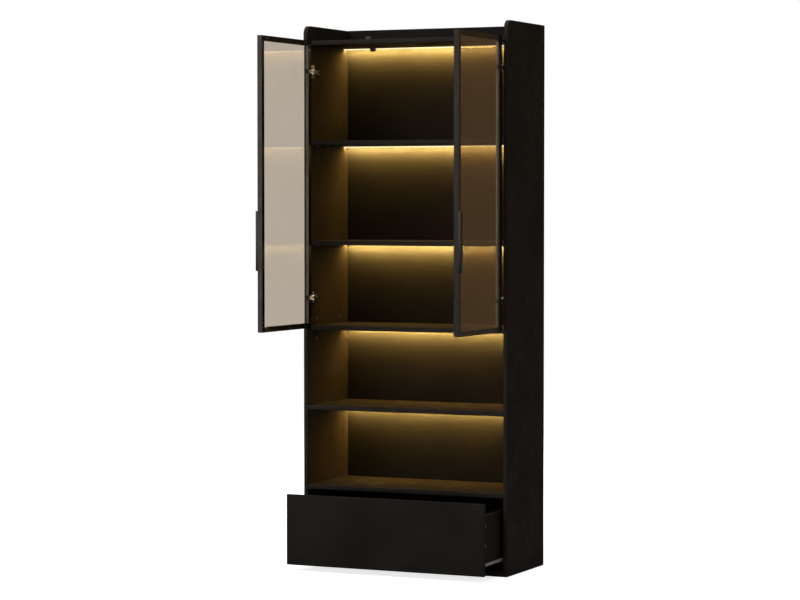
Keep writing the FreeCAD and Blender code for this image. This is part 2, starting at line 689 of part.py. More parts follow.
def board_cam(side, row, underside):
    """A cam in a board's underside, with a mouth towards the side panel for the bolt."""
    centre = side * (INNER - cam_inset)
    disc = rod("CamDisc", (centre, row, underside), cam_depth - bore_play,
               cam_radius - bore_play, "z", DISC_SIDES)
    floor = board_middle(underside) - MOUTH_HALF
    mouth = box("CamMouth", (centre if side > 0 else centre - cam_radius, row - MOUTH_HALF, floor),
                (cam_radius, 2 * MOUTH_HALF, underside + cam_depth - floor))
    return cut("Cam", disc, mouth)


def seam_cam(side, row, direction):
    """A cam in a side panel's inner face, with a mouth towards the seam."""
    height = SEAM_HEIGHT + direction * seam_cam_reach
    depth = cam_depth - bore_play
    disc = rod("SeamCamDisc", (INNER if side > 0 else -INNER - depth, row, height), depth,
               cam_radius - bore_play, "x", DISC_SIDES)
    floor = side_thickness / 2 - MOUTH_HALF
    mouth = box("SeamCamMouth", (INNER + floor if side > 0 else -INNER - cam_depth,
                                 row - MOUTH_HALF, height - cam_radius if direction > 0 else height),
                (cam_depth - floor, 2 * MOUTH_HALF, cam_radius))
    return cut("SeamCam", disc, mouth)


def make_joint_fittings():
    cams = []
    bolts = []
    dowels = []
    undersides = FIXED_BOARDS + (as_size(0),)
    for side in (-1, 1):
        for underside in undersides:
            for row in CAM_ROWS:
                cams.append(board_cam(side, row, underside))
                bolts.append(cam_bolt(side, row, underside))
        for row in DOWEL_ROWS:
            for direction in (-1, 1):
                cams.append(seam_cam(side, row, direction))
            start = (side * (INNER + side_thickness / 2), row,
                     SEAM_HEIGHT - seam_cam_reach + bolt_radius)
            length = 2 * seam_cam_reach - 2 * bolt_radius
            bolts.append(rod("SeamBolt", start, length, bolt_radius, "z"))
            for underside in DOWELLED_BOARDS:
                dowels.append(board_dowel(side, row, middle_height(underside)))
            dowels.append(board_dowel(side, row, bottom_thickness / 2))
        start = (side * (INNER + side_thickness / 2), 0, SEAM_HEIGHT - dowel_length / 2)
        dowels.append(rod("SeamDowel", start, dowel_length, dowel_radius, "z"))
    node(group("Cams", cams), "joint_cams")
    node(group("Bolts", bolts), "joint_bolts")
    node(group("Dowels", dowels), "dowels")


def cam_bolt(side, row, underside):
    """A bolt from the side panel's bore into the cam's mouth."""
    shank = cam_inset - bolt_radius
    start = INNER - shank if side > 0 else -INNER - bolt_hold
    return rod("Bolt", (start, row, board_middle(underside)), shank + bolt_hold, bolt_radius, "x")


def board_dowel(side, row, height):
    start = INNER - dowel_length + dowel_hold if side > 0 else -INNER - dowel_hold
    return rod("Dowel", (start, row, height), dowel_length, dowel_radius, "x")


def make_shelf_pins():
    pins = []
    for side in (-1, 1):
        for underside in LOOSE_SHELVES:
            for row in DOWEL_ROWS:
                start = INNER - shelf_pin_reach if side > 0 else -INNER - shelf_pin_hold
                pins.append(rod("Pin", (start, row, pin_height(underside)),
                                shelf_pin_reach + shelf_pin_hold, shelf_pin_radius, "x"))
    node(group("Pins", pins), "shelf_pins")


# ---------------------------------------------------------------- light bars

def make_lights():
    """Under each lit board: a channel let in, a strip at its root and a diffuser that stands out."""
    channels = []
    strips = []
    diffusers = []
    length = BOARD_LENGTH - 2 * light_end_play
    start = -length / 2
    inner_width = bar_width - 2 * bar_wall
    for underside in LIT_BOARDS:
        shell = box("Channel", (start, BAR_FRONT, underside), (length, bar_width, bar_depth))
        hollow = box("ChannelHollow", (start, BAR_FRONT + bar_wall, underside),
                     (length, inner_width, bar_depth - bar_wall))
        channels.append(cut("ChannelCut", shell, hollow))
        root = underside + bar_depth - bar_wall
        strip_front = BAR_FRONT + bar_width / 2 - strip_width / 2
        strips.append(box("Strip", (start, strip_front, root - strip_thickness),
                          (length, strip_width, strip_thickness)))
        face = root - strip_thickness - diffuser_inner_gap
        lens = box("Lens", (start, BAR_FRONT + bar_wall, underside - diffuser_drop),
                   (length, inner_width, face - underside + diffuser_drop))
        diffusers.append(lens)
    node(group("Channels", channels), "light_channels")
    node(group("Strips", strips), "light_strips")
    node(group("Diffusers", diffusers), "light_diffusers")
    corner = (-INNER + sensor_offset - sensor_width / 2, BAR_FRONT - sensor_gap - sensor_depth,
              TOP_HEIGHT - sensor_drop)
    node(box("Switch", corner, (sensor_width, sensor_depth, sensor_drop)), "light_switch")


# ---------------------------------------------------------------- the left door

# Door pieces are drawn closed, with their origin on the turning axis at floor level,
# and then turned together about that axis.
EDGE = pivot_inset + door_side_gap
FREE_EDGE = EDGE + DOOR_WIDTH
FACE = pivot_front
# A cut this long to both sides of the axis passes through a frame member
THROUGH_DOOR = 2 * (FACE + door_depth + EDGE + frame_face)


def hang(thing):
    """Turn a door piece open about the door's axis."""
    place(thing, -INNER - pivot_inset, FRONT - pivot_front)
    bind(thing, Placement__Rotation__Angle=-door_angle)
    return thing


def frame_profile(across, deep):
    """The extrusion's outline: a lip, the groove for the glass, and the body behind it."""
    web = frame_face - glass_groove_depth
    points = [(0, 0), (frame_face, 0), (frame_face, frame_lip), (web, frame_lip),
              (web, POCKET_REAR), (frame_face, POCKET_REAR), (frame_face, door_depth),
              (0, door_depth)]
    return [(across(e), deep(d)) for e, d in points]


def frame_chamber(across, deep):
    """The closed chamber that takes the corner brackets."""
    low, high = frame_wall, frame_face - frame_wall
    front, rear = POCKET_REAR + frame_wall, door_depth - frame_wall
    points = [(low, front), (high, front), (high, rear), (low, rear)]
    return [(across(e), deep(d)) for e, d in points]


def mitred(body, lines):
    """Cut both ends of a frame member at 45 degrees."""
    for corners in lines:
        wedge = outline(sketch_on(body, "XZ_Plane"), corners)
        pocket(body, wedge, THROUGH_DOOR, "both")


def stile(name, edge, inward):
    """An upright frame member; inward is +1 when the glass lies on its +x side."""
    body = hang(new_body(name))
    profile = sketch_on(body, "XY_Plane", DOOR_BOTTOM)
    outline(profile, frame_profile(lambda e: edge + inward * e, lambda d: FACE + d))
    outline(profile, frame_chamber(lambda e: edge + inward * e, lambda d: FACE + d))
    pad(body, profile, DOOR_TOP - DOOR_BOTTOM)
    far = edge + inward * frame_face
    mitred(body, [
        [(edge, DOOR_BOTTOM), (far, DOOR_BOTTOM), (far, DOOR_BOTTOM + frame_face)],
        [(edge, DOOR_TOP), (far, DOOR_TOP), (far, DOOR_TOP - frame_face)]])
    screw_holes(body, grid([edge + inward * frame_face / 2],
                           [DOOR_BOTTOM + corner_screw_inset, DOOR_TOP - corner_screw_inset]))
    return body


def rail(name, edge, inward):
    """A level frame member; inward is +1 for the bottom rail and -1 for the top rail."""
    body = hang(new_body(name))
    profile = sketch_on(body, "YZ_Plane", EDGE)
    outline(profile, [(d, e) for e, d in frame_profile(lambda e: edge + inward * e,
                                                       lambda d: FACE + d)])
    outline(profile, [(d, e) for e, d in frame_chamber(lambda e: edge + inward * e,
                                                       lambda d: FACE + d)])
    pad(body, profile, DOOR_WIDTH)
    far = edge + inward * frame_face
    mitred(body, [
        [(EDGE, edge), (EDGE, far), (EDGE + frame_face, far)],
        [(FREE_EDGE, edge), (FREE_EDGE, far), (FREE_EDGE - frame_face, far)]])
    screw_holes(body, grid([EDGE + corner_screw_inset, FREE_EDGE - corner_screw_inset],
                           [edge + inward * frame_face / 2]))
    return body


def screw_holes(body, centres):
    """Holes through the frame's inner wall."""
    bores(body, "XZ_Plane", -FACE - door_depth, centres, corner_screw_radius + bore_play,
          frame_wall + bore_play, "along")


def notch_stile(body):
    """Let the hinge cups into the stile from behind."""
    notches = sketch_on(body, "YZ_Plane")
    for height in HINGE_HEIGHTS:
        rectangle(notches, (FACE + notch_floor, height - notch_height / 2),
                  (FACE + door_depth + overrun, height + notch_height / 2))
    pocket(body, notches, THROUGH_DOOR, "both")


def make_glass(name):
    """The pane, seated against the front lip all round."""
    body = hang(new_body(name))
    rectangle(sketch_on(body, "XZ_Plane", -FACE - GLASS_REAR),
              (EDGE + glass_seat, DOOR_BOTTOM + glass_seat),
              (FREE_EDGE - glass_seat, DOOR_TOP - glass_seat))
    return pad(body, body.Group[-1], glass_thickness, "along")


def make_gasket(name):
    """The strip between the pane's rear and the groove, showing a little past the frame."""
    body = hang(new_body(name))
    ring = sketch_on(body, "XZ_Plane", -FACE - POCKET_REAR)
    outer = glass_seat
    inner = frame_face + gasket_show
    rectangle(ring, (EDGE + outer, DOOR_BOTTOM + outer), (FREE_EDGE - outer, DOOR_TOP - outer))
    rectangle(ring, (EDGE + inner, DOOR_BOTTOM + inner), (FREE_EDGE - inner, DOOR_TOP - inner))
    return pad(body, ring, gasket_thickness, "along")


def make_handle(name):
    """A flat bar along the free edge with sloped ends and a hollow for the fingertips."""
    body = hang(new_body(name))
    bottom = DOOR_BOTTOM + handle_rise
    top = bottom + handle_length
    front = FACE - handle_reach
    near_edge = FREE_EDGE - frame_face
    outline(sketch_on(body, "YZ_Plane", near_edge), [
        (FACE, bottom), (FACE, top), (front, top - handle_slope),
        (front, bottom + handle_slope)])
    pad(body, body.Group[-1], frame_face)
    hollow = sketch_on(body, "YZ_Plane", near_edge)
    rectangle(hollow, (front + handle_hollow, bottom + 2 * handle_slope),
              (FACE + overrun, top - 2 * handle_slope))
    pocket(body, hollow, handle_hollow, "along")
    return body


def corner_signs():
    return [(1, 1), (1, -1), (-1, 1), (-1, -1)]


def corner_of(x_sign, z_sign):
    """A door corner, with signs that point into the door."""
    return (EDGE if x_sign > 0 else FREE_EDGE, DOOR_BOTTOM if z_sign > 0 else DOOR_TOP)


def screw_places():
    """Each corner screw's place on the door's inner face."""
    places = []
    for x_sign, z_sign in corner_signs():
        x, z = corner_of(x_sign, z_sign)
        middle = frame_face / 2
        places.append((x + x_sign * middle, z + z_sign * corner_screw_inset))
        places.append((x + x_sign * corner_screw_inset, z + z_sign * middle))
    return places


def make_corner_brackets(name):
    """Four angle pieces that fill the chambers at the corners."""
    gap = frame_wall + bracket_play
    front = FACE + POCKET_REAR + gap
    depth = door_depth - POCKET_REAR - 2 * gap
    width = frame_face - 2 * gap
    angles = []
    for x_sign, z_sign in corner_signs():
        x, z = corner_of(x_sign, z_sign)
        arms = []
        for x_length, z_length in ((width, bracket_reach), (bracket_reach, width)):
            x_low = x + gap if x_sign > 0 else x - gap - x_length
            z_low = z + gap if z_sign > 0 else z - gap - z_length
            arms.append(box("BracketArm", (x_low, front, z_low), (x_length, depth, z_length)))
        angles.append(fuse("BracketAngle", arms))
    holes = []
    for x, z in screw_places():
        holes.append(rod("BracketBore", (x, front - overrun, z), depth + 2 * overrun,
                         corner_screw_radius + bore_play, "y"))
    return hang(cut(name, group("BracketAngles", angles), group("BracketBores", holes)))


def make_corner_screws(name):
    """Headless screws through the inner wall into the brackets."""
    screws = []
    start = FACE + POCKET_REAR + 2 * frame_wall
    length = door_depth - POCKET_REAR - 2 * frame_wall - corner_screw_sink
    for x, z in screw_places():
        screws.append(rod("CornerScrew", (x, start, z), length, corner_screw_radius, "y"))
    return hang(group(name, screws))


def make_cups(name):
    """Open trays that line the two notches, for the hinge links to lie in."""
    trays = []
    front = FACE + notch_floor
    depth = door_depth - notch_floor
    for height in HINGE_HEIGHTS:
        low = height - notch_height / 2
        shell = box("CupShell", (EDGE, front, low), (frame_face, depth, notch_height))
        hollow = box("CupHollow", (EDGE, front + cup_wall, low + cup_wall),
                     (frame_face, depth, notch_height - 2 * cup_wall))
        trays.append(cut("Cup", shell, hollow))
    return hang(group(name, trays))


def make_door():
    hinge_stile = stile("StileHinge", EDGE, 1)
    notch_stile(hinge_stile)
    pieces = {
        "stile_hinge": hinge_stile,
        "stile_free": stile("StileFree", FREE_EDGE, -1),
        "rail_bottom": rail("RailBottom", DOOR_BOTTOM, 1),
        "rail_top": rail("RailTop", DOOR_TOP, -1),
        "glass": make_glass("Glass"),
        "gasket": make_gasket("Gasket"),
        "handle": make_handle("Handle"),
        "corner_brackets": make_corner_brackets("CornerBrackets"),
        "corner_screws": make_corner_screws("CornerScrews"),
        "hinge_cups": make_cups("HingeCups"),
    }
    for label, piece in pieces.items():
        node(piece, "door_left_" + label)
    for label, piece in pieces.items():
        node(mirrored(piece.Name + "Right", piece), "door_right_" + label)


# ---------------------------------------------------------------- hinges

NOSE_HEIGHT = link_height - 2 * link_wall - 2 * nose_play
NOSE_HALF = link_thickness / 2
# Half the width of the flat at the tip of a nose or link that ends in half an octagon
TIP_HALF = NOSE_HALF * round(math.tan(math.pi / DISC_SIDES), 6)


def hinge_arm(height):
    """An arm on the mounting plate, cranked forward to the nose that holds the pin."""
    body = place(new_body("HingeArm"), -INNER, FRONT, height)
    inner = pin_inset - NOSE_HALF
    outer = pin_inset + NOSE_HALF
    outline(sketch_on(body, "XY_Plane"), [
        (saddle_thickness, arm_rear), (arm_top, arm_rear), (arm_top, arm_front + arm_slope),
        (outer, arm_front + arm_knuckle), (outer, arm_front), (inner, arm_front),
        (saddle_thickness, arm_front + arm_heel)])
    pad(body, body.Group[-1], arm_height, "both")
    bevel(body, arm_bevel, lambda e, m: near(m.x, arm_top) and near(m.y, arm_rear)
          or near(abs(m.z), arm_height / 2) and m.x > arm_top.value - arm_bevel.value)
    outline(sketch_on(body, "XY_Plane"), [
        (inner, arm_front + overrun), (inner, pin_depth - TIP_HALF),
        (pin_inset - TIP_HALF, pin_depth - NOSE_HALF),
        (pin_inset + TIP_HALF, pin_depth - NOSE_HALF),
        (outer, pin_depth - TIP_HALF), (outer, arm_front + overrun)])
    pad(body, body.Group[-1], NOSE_HEIGHT, "both")
    few_sided(sketch_on(body, "XY_Plane"), [(pin_inset, pin_depth)], pin_radius, PIVOT_SIDES)
    pocket(body, body.Group[-1], arm_height, "both")
    slot_half = euro_head_radius + arm_slot_play
    slot = sketch_on(body, "YZ_Plane", arm_top)
    rectangle(slot, (arm_rear - arm_slot_length, -slot_half), (arm_rear + overrun, slot_half))
    pocket(body, slot, arm_top - saddle_thickness - euro_head_height, "against")
    return body


def hinge_plate(height):
    """A plate with two screwed wings and a saddle for the arm."""
    body = place(new_body("HingePlate"), -INNER, FRONT, height)
    half = plate_height / 2
    rectangle(sketch_on(body, "YZ_Plane"), (plate_front, -half),
              (plate_front + plate_width, half))
    pad(body, body.Group[-1], plate_thickness)
    bevel(body, plate_bevel, lambda e, m: near(abs(m.z), half) and near(e.Length, plate_thickness))
    saddle_half = arm_height / 2 - arm_bevel
    rectangle(sketch_on(body, "YZ_Plane"), (plate_front - saddle_lead, -saddle_half),
              (arm_rear - saddle_inset, saddle_half))
    pad(body, body.Group[-1], saddle_thickness)
    centres = grid([PLATE_SCREW_Y], [-plate_screw_pitch / 2, plate_screw_pitch / 2])
    return bores(body, "YZ_Plane", 0, centres, euro_radius + bore_play, plate_thickness + overrun,
                 "along")


def hinge_link(height):
    """A channel that turns on the arm's pin; it is drawn closed, with its origin on the pin."""
    body = place(new_body("HingeLink"), -INNER + pin_inset, FRONT + pin_depth, height)
    bind(body, Placement__Rotation__Angle=-door_angle)
    half = link_thickness / 2
    outline(sketch_on(body, "XY_Plane"), [
        (link_length, -half), (link_length, half), (-TIP_HALF, half), (-half, TIP_HALF),
        (-half, -TIP_HALF), (-TIP_HALF, -half)])
    pad(body, body.Group[-1], link_height, "both")
    web_start = half + pin_radius
    floor = -half + link_wall
    end = link_length - link_wall
    channel = sketch_on(body, "XY_Plane")
    outline(channel, [
        (-half - overrun, -half - overrun), (web_start, -half - overrun), (web_start, floor),
        (end, floor), (end, half + overrun), (-half - overrun, half + overrun)])
    pocket(body, channel, NOSE_HEIGHT + 2 * nose_play, "both")
    circles(sketch_on(body, "XY_Plane"), [(0, 0)], pin_radius + pin_play)
    pocket(body, body.Group[-1], link_height + overrun, "both")
    return body


def make_hinges():
    arms = [hinge_arm(height) for height in HINGE_HEIGHTS]
    plates = [hinge_plate(height) for height in HINGE_HEIGHTS]
    links = [hinge_link(height) for height in HINGE_HEIGHTS]
    pins = []
    for height in HINGE_HEIGHTS:
        start = (-INNER + pin_inset, FRONT + pin_depth, height - link_height / 2)
        pins.append(rod("HingePin", start, link_height, pin_radius, "z", PIVOT_SIDES))
    for label, pieces in (("hinge_arms", arms), ("hinge_plates", plates), ("hinge_pins", pins)):
        left = group("Left" + label, pieces)
        node(group("Both" + label, [left, mirrored("Right" + label, left)]), label)
    left = group("HingeLinks", links)
    node(left, "hinge_links_left")
    node(mirrored("HingeLinksRight", left), "hinge_links_right")


# ---------------------------------------------------------------- drawer

def make_drawer():
    front = place(new_body("DrawerFront"), 0, DRAWER_FACE)
    width = 2 * (INNER - drawer_gap_side)
    rectangle(sketch_on(front, "YZ_Plane"), (0, FRONT_BOTTOM), (drawer_front_thickness, FRONT_TOP))
    pad(front, front.Group[-1], width, "both")
    bevel(front, board_edge_bevel, lambda e, m: near(m.y, 0) and near(e.Length, width))
    side_middle = DRAWER_BOX_SIDE - drawer_board / 2
    groove_side = DRAWER_BOX_SIDE - drawer_board + drawer_groove
    groove = sketch_on(front, "XZ_Plane", -drawer_front_thickness)
    rectangle(groove, (-groove_side, drawer_floor_height - groove_play),
              (groove_side, drawer_floor_height + drawer_floor_thickness + groove_play))
    pocket(front, groove, drawer_groove, "along")
    bores(front, "XZ_Plane", -drawer_front_thickness,
          grid([-side_middle, side_middle], [drawer_cam_low, drawer_cam_high]),
          bolt_radius + bore_play, bolt_hold + bore_play, "along")
    node(front, "drawer_front")

    side = place(new_body("DrawerSide"), -DRAWER_BOX_SIDE, DRAWER_BOX_FRONT)
    rectangle(sketch_on(side, "YZ_Plane"), (0, drawer_side_bottom),
              (DRAWER_BOX_LENGTH, drawer_side_top))
    pad(side, side.Group[-1], drawer_board)
    bevel(side, board_edge_bevel, lambda e, m: near(m.z, drawer_side_top)
          and near(e.Length, DRAWER_BOX_LENGTH))
    groove = sketch_on(side, "YZ_Plane", drawer_board)
    rectangle(groove, (0, drawer_floor_height - groove_play),
              (DRAWER_BOX_LENGTH, drawer_floor_height + drawer_floor_thickness + groove_play))
    pocket(side, groove, drawer_groove, "against")
    heights = [drawer_cam_low, drawer_cam_high]
    bores(side, "YZ_Plane", 0, grid([cam_inset], heights), cam_radius, drawer_cam_depth, "along",
          DISC_SIDES)
    bores(side, "XZ_Plane", 0, grid([drawer_board / 2], heights), bolt_radius + bore_play,
          cam_inset, "against")
    bores(side, "YZ_Plane", 0, grid([DRAWER_BOX_LENGTH - drawer_board / 2], heights),
          euro_radius + bore_play, drawer_board + overrun, "along")
    node(side, "drawer_side_left")
    node(mirrored("DrawerSideRight", side), "drawer_side_right")

    back_half = DRAWER_BOX_SIDE - drawer_board
    back = place(new_body("DrawerBack"), 0, DRAWER_BOX_REAR - drawer_board)
    back_bottom = drawer_floor_height + drawer_floor_thickness + groove_play
    rectangle(sketch_on(back, "YZ_Plane"), (0, back_bottom),
              (drawer_board, drawer_side_top - drawer_back_drop))
    pad(back, back.Group[-1], 2 * back_half, "both")
    for end, direction in ((back_half, "against"), (-back_half, "along")):
        bores(back, "YZ_Plane", end, grid([drawer_board / 2], heights), euro_radius + bore_play,
              drawer_screw_length - drawer_board + bore_play, direction)
    node(back, "drawer_back")

    floor_half = groove_side - groove_play
    floor_front = DRAWER_BOX_FRONT - drawer_groove + groove_play
    floor = box("DrawerFloor", (-floor_half, floor_front, drawer_floor_height),
                (2 * floor_half, DRAWER_BOX_REAR - floor_front, drawer_floor_thickness))
    node(floor, "drawer_bottom")
    make_drawer_fittings(side_middle)


def make_drawer_fittings(side_middle):
    """Cams in the drawer sides' outer faces, their bolts, and the screws that hold the back."""
    cams = []
    bolts = []
    depth = drawer_cam_depth - bore_play
    centre = DRAWER_BOX_FRONT + cam_inset
    mouth_lengths = (drawer_cam_depth - drawer_board / 2 + MOUTH_HALF, cam_radius, 2 * MOUTH_HALF)
    for side in (-1, 1):
        outer = side * DRAWER_BOX_SIDE
        mouth_start = outer - drawer_cam_depth if side > 0 else -side_middle - MOUTH_HALF
        for height in (drawer_cam_low, drawer_cam_high):
            disc = rod("DrawerCam", (outer - depth if side > 0 else outer, centre, height), depth,
                       cam_radius - bore_play, "x", DISC_SIDES)
            mouth = box("DrawerCamMouth", (mouth_start, centre - cam_radius, height - MOUTH_HALF),
                        mouth_lengths)
            cams.append(cut("DrawerCamCut", disc, mouth))
            bolts.append(rod("DrawerBolt", (side * side_middle, DRAWER_BOX_FRONT - bolt_hold,
                                            height), bolt_hold + cam_inset - bolt_radius,
                             bolt_radius, "y"))
            start = outer - drawer_screw_length if side > 0 else outer
            bolts.append(rod("BackScrew", (start, DRAWER_BOX_REAR - drawer_board / 2, height),
                             drawer_screw_length, euro_radius, "x"))
    node(group("DrawerCams", cams), "drawer_cams")
    node(group("DrawerBolts", bolts), "drawer_bolts")


# ---------------------------------------------------------------- roller slides

ROLLER_INNER = slide_metal + roller_side_gap


def make_slides():
    """Runners on the sides, slides on the drawer, and the rollers that each of them carries."""
    track = INNER - DRAWER_BOX_SIDE - slide_metal
    runner = place(new_body("Runner"), -INNER, RUNNER_FRONT)
    metal = slide_metal
    outline(sketch_on(runner, "XZ_Plane"), [
        (0, RUNNER_BOTTOM), (runner_lip, RUNNER_BOTTOM), (runner_lip, RUNNER_BOTTOM + metal),
        (metal, RUNNER_BOTTOM + metal), (metal, RUNNER_TOP - metal),
        (runner_lip, RUNNER_TOP - metal), (runner_lip, RUNNER_TOP), (0, RUNNER_TOP)])
    pad(runner, runner.Group[-1], RUNNER_LENGTH, "against")
    axle = few_sided(sketch_on(runner, "YZ_Plane"), [(front_roller_inset, FRONT_ROLLER_HEIGHT)],
                     roller_axle_radius, DISC_SIDES)
    pad(runner, axle, ROLLER_INNER + roller_width)
    columns = (runner_screw_front, runner_screw_front + runner_screw_pitch)
    bores(runner, "YZ_Plane", 0, grid(columns, [RUNNER_SCREW_HEIGHT]), euro_radius + bore_play,
          metal + overrun, "along")

    slide = place(new_body("Slide"), -INNER, DRAWER_BOX_FRONT)
    web = track + metal
    outline(sketch_on(slide, "XZ_Plane"), [
        (web + slide_foot, SLIDE_FOOT_BOTTOM), (web + slide_foot, drawer_side_bottom),
        (web, drawer_side_bottom), (web, TRACK_TOP),
        (ROLLER_INNER, TRACK_TOP), (ROLLER_INNER, TRACK_UNDERSIDE), (track, TRACK_UNDERSIDE),
        (track, SLIDE_FOOT_BOTTOM)])
    pad(slide, slide.Group[-1], DRAWER_BOX_LENGTH, "against")
    axle = few_sided(sketch_on(slide, "YZ_Plane", ROLLER_INNER),
                     [(DRAWER_BOX_LENGTH - rear_roller_inset, REAR_ROLLER_HEIGHT)],
                     roller_axle_radius, DISC_SIDES)
    pad(slide, axle, web - ROLLER_INNER)

    front_roller = roller("FrontRoller", FRONT_ROLLER_Y, FRONT_ROLLER_HEIGHT)
    rear_roller = roller("RearRoller", REAR_ROLLER_Y, REAR_ROLLER_HEIGHT)
    for label, piece in (("runners", runner), ("drawer_slides", slide),
                         ("front_rollers", front_roller), ("rear_rollers", rear_roller)):
        node(group("Pair" + label, [piece, mirrored("Right" + label, piece)]), label)


def roller(name, y, height):
    """A wheel with a hub bore that runs on its axle."""
    wheel = round_rod(name + "Wheel", (-INNER + ROLLER_INNER, y, height), roller_width,
                      roller_radius, "x")
    bore = rod(name + "Bore", (-INNER + ROLLER_INNER - overrun, y, height),
               roller_width + 2 * overrun,
               round_inside(roller_axle_radius + roller_axle_play, PIVOT_SIDES), "x", PIVOT_SIDES)
    return cut(name, wheel, bore)


def make_panel_screws():
    """The screws that hold the hinge plates and the runners to the side panels."""
    screws = []
    places = [(PLATE_SCREW_Y, height, plate_thickness) for height in plate_screw_heights()]
    places += [(column, RUNNER_SCREW_HEIGHT, slide_metal) for column in RUNNER_SCREW_COLUMNS]
    for y, height, seat in places:
        stem = rod("PanelStem", (-INNER - euro_length, FRONT + y, height), euro_length + seat,
                   euro_radius, "x")
        head = rod("PanelHead", (-INNER + seat, FRONT + y, height), euro_head_height,
                   euro_head_radius, "x")
        screws.append(fuse("PanelScrew", [stem, head]))
    left = group("PanelScrews", screws)
    node(group("AllPanelScrews", [left, mirrored("PanelScrewsRight", left)]), "panel_screws")


def make_wall_brackets():
    """Angles on the top panel against the back, for screws into a wall."""
    body = place(new_body("WallBracket"), -bracket_spacing / 2, BACK_FACE,
                 TOP_HEIGHT + board_thickness)
    outline(sketch_on(body, "YZ_Plane"), [
        (0, 0), (0, bracket_leg), (-bracket_metal, bracket_leg), (-bracket_metal, bracket_metal),
        (-bracket_leg, bracket_metal), (-bracket_leg, 0)])
    pad(body, body.Group[-1], bracket_width, "both")
    bevel(body, bracket_bend, lambda e, m: near(m.y, -bracket_metal) and near(m.z, bracket_metal))
    wall_hole = circles(sketch_on(body, "XZ_Plane", bracket_metal), [(0, bracket_hole_drop)],
                        bracket_hole_radius)
    pocket(body, wall_hole, bracket_metal + overrun, "against")
    bores(body, "XY_Plane", 0, [(0, -bracket_hole_drop)],
          round_inside(bracket_hole_radius, DISC_SIDES), bracket_metal + overrun, "along",
          DISC_SIDES)
    pair = group("WallBrackets", [body, mirrored("WallBracketRight", body)])
    node(pair, "wall_brackets")


# ---------------------------------------------------------------- build, check and write

def check_and_write():
    """Refuse any failed object, then write one file for each sub-part."""
    doc.recompute()
    for thing in doc.Objects:
        if "Invalid" in thing.State or "Error" in thing.State:
            raise RuntimeError(f"{thing.Name} failed: {thing.State}")
    os.makedirs("parts", exist_ok=True)
    for thing in nodes:
        shape = thing.Shape
        if shape.isNull() or not shape.isValid():
            raise RuntimeError(f"{thing.Label} has no valid shape")
        shape.exportStep(f"parts/{thing.Label}.step")


def main():
    make_sides()
    make_boards()
    make_back()
    make_joint_fittings()
    make_shelf_pins()
    make_lights()
    make_door()
    make_hinges()
    make_drawer()
    make_slides()
    make_panel_screws()
    make_wall_brackets()
    check_and_write()
    print(f"{len(nodes)} sub-parts")


main()
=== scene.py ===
from itertools import product
import json
import math

import bmesh
import bpy
from bpy.props import FloatProperty, FloatVectorProperty, PointerProperty
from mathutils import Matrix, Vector


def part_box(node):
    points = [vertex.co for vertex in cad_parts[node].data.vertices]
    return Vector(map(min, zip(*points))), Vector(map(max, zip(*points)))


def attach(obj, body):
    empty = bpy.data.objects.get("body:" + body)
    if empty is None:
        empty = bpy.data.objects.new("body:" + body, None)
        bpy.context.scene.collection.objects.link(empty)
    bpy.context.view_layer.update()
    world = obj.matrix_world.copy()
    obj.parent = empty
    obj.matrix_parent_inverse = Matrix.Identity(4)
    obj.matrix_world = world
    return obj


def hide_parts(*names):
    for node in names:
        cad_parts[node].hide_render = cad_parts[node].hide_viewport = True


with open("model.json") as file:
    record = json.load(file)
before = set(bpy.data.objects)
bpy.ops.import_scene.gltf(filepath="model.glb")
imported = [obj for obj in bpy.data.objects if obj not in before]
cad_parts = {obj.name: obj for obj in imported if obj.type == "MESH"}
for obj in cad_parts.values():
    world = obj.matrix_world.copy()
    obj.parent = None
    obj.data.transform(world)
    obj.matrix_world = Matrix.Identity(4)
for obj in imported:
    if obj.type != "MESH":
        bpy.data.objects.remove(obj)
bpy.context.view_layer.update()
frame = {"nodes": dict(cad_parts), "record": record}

MM = 0.001

bl_info = {
    "name": "Bookcase with Glass Doors",
    "version": (1, 0, 0),
    "blender": (4, 5, 0),
    "location": "View3D > Sidebar > Bookcase",
    "description": "Finishes, small fittings, light and camera for a bookcase with glass doors",
    "category": "Object",
}


# ---------- what a user may change

def amount(name, description, default, **more):
    """A number from 0 up."""
    return FloatProperty(name=name, description=description, default=default, min=0, **more)


def length(name, description, default):
    """A length in metres."""
    return amount(name, description, default, unit="LENGTH", subtype="DISTANCE", precision=5)


def share(name, description, default):
    """A plain number from 0 to 1."""
    return amount(name, description, default, max=1, subtype="FACTOR")


def watts(name, description, default):
    """A lamp's power."""
    return amount(name, description, default, unit="POWER")


def colour(name, description, default):
    """A colour that is typed in as linear red, green and blue."""
    return FloatVectorProperty(name=name, description=description, default=default,
                               size=3, subtype="COLOR", min=0, max=1)


class BandSizes(bpy.types.PropertyGroup):
    """The foil bands on the front edges."""
    thickness: length("Thickness", "Band in front of the board's edge", 0.0004)
    wrap: length("Wrap", "How far the band reaches back over the edge's bevel", 0.002)
    rounding: length("Rounding", "Radius of the band's long edges", 0.0013)
    corner: length("Corner", "Radius of the side panels' front top corner", 0.03)


class FittingSizes(bpy.types.PropertyGroup):
    """Screws, cams and caps."""
    pan_radius: length("Pan head radius", "Screws of the hinge plates and the runners", 0.0041)
    pan_height: length("Pan head height", "Screws of the hinge plates and the runners", 0.0019)
    dot_radius: length("Corner screw radius", "Screws near the door frame's corners", 0.0031)
    dot_near: length("First on the upright", "Corner screw on a stile, from the door's end", 0.018)
    dot_middle: length("Second on both", "Corner screw on both, from the end or side", 0.034)
    dot_far: length("First on the rail", "Corner screw on a rail, from the door's side", 0.051)
    cam_radius: length("Cam rim radius", "Rim around a joining cam", 0.0086)
    cap_radius: length("Cap radius", "Cap over a cam in a board's underside", 0.0092)
    hub_radius: length("Hub radius", "Riveted end of a roller's axle", 0.0031)


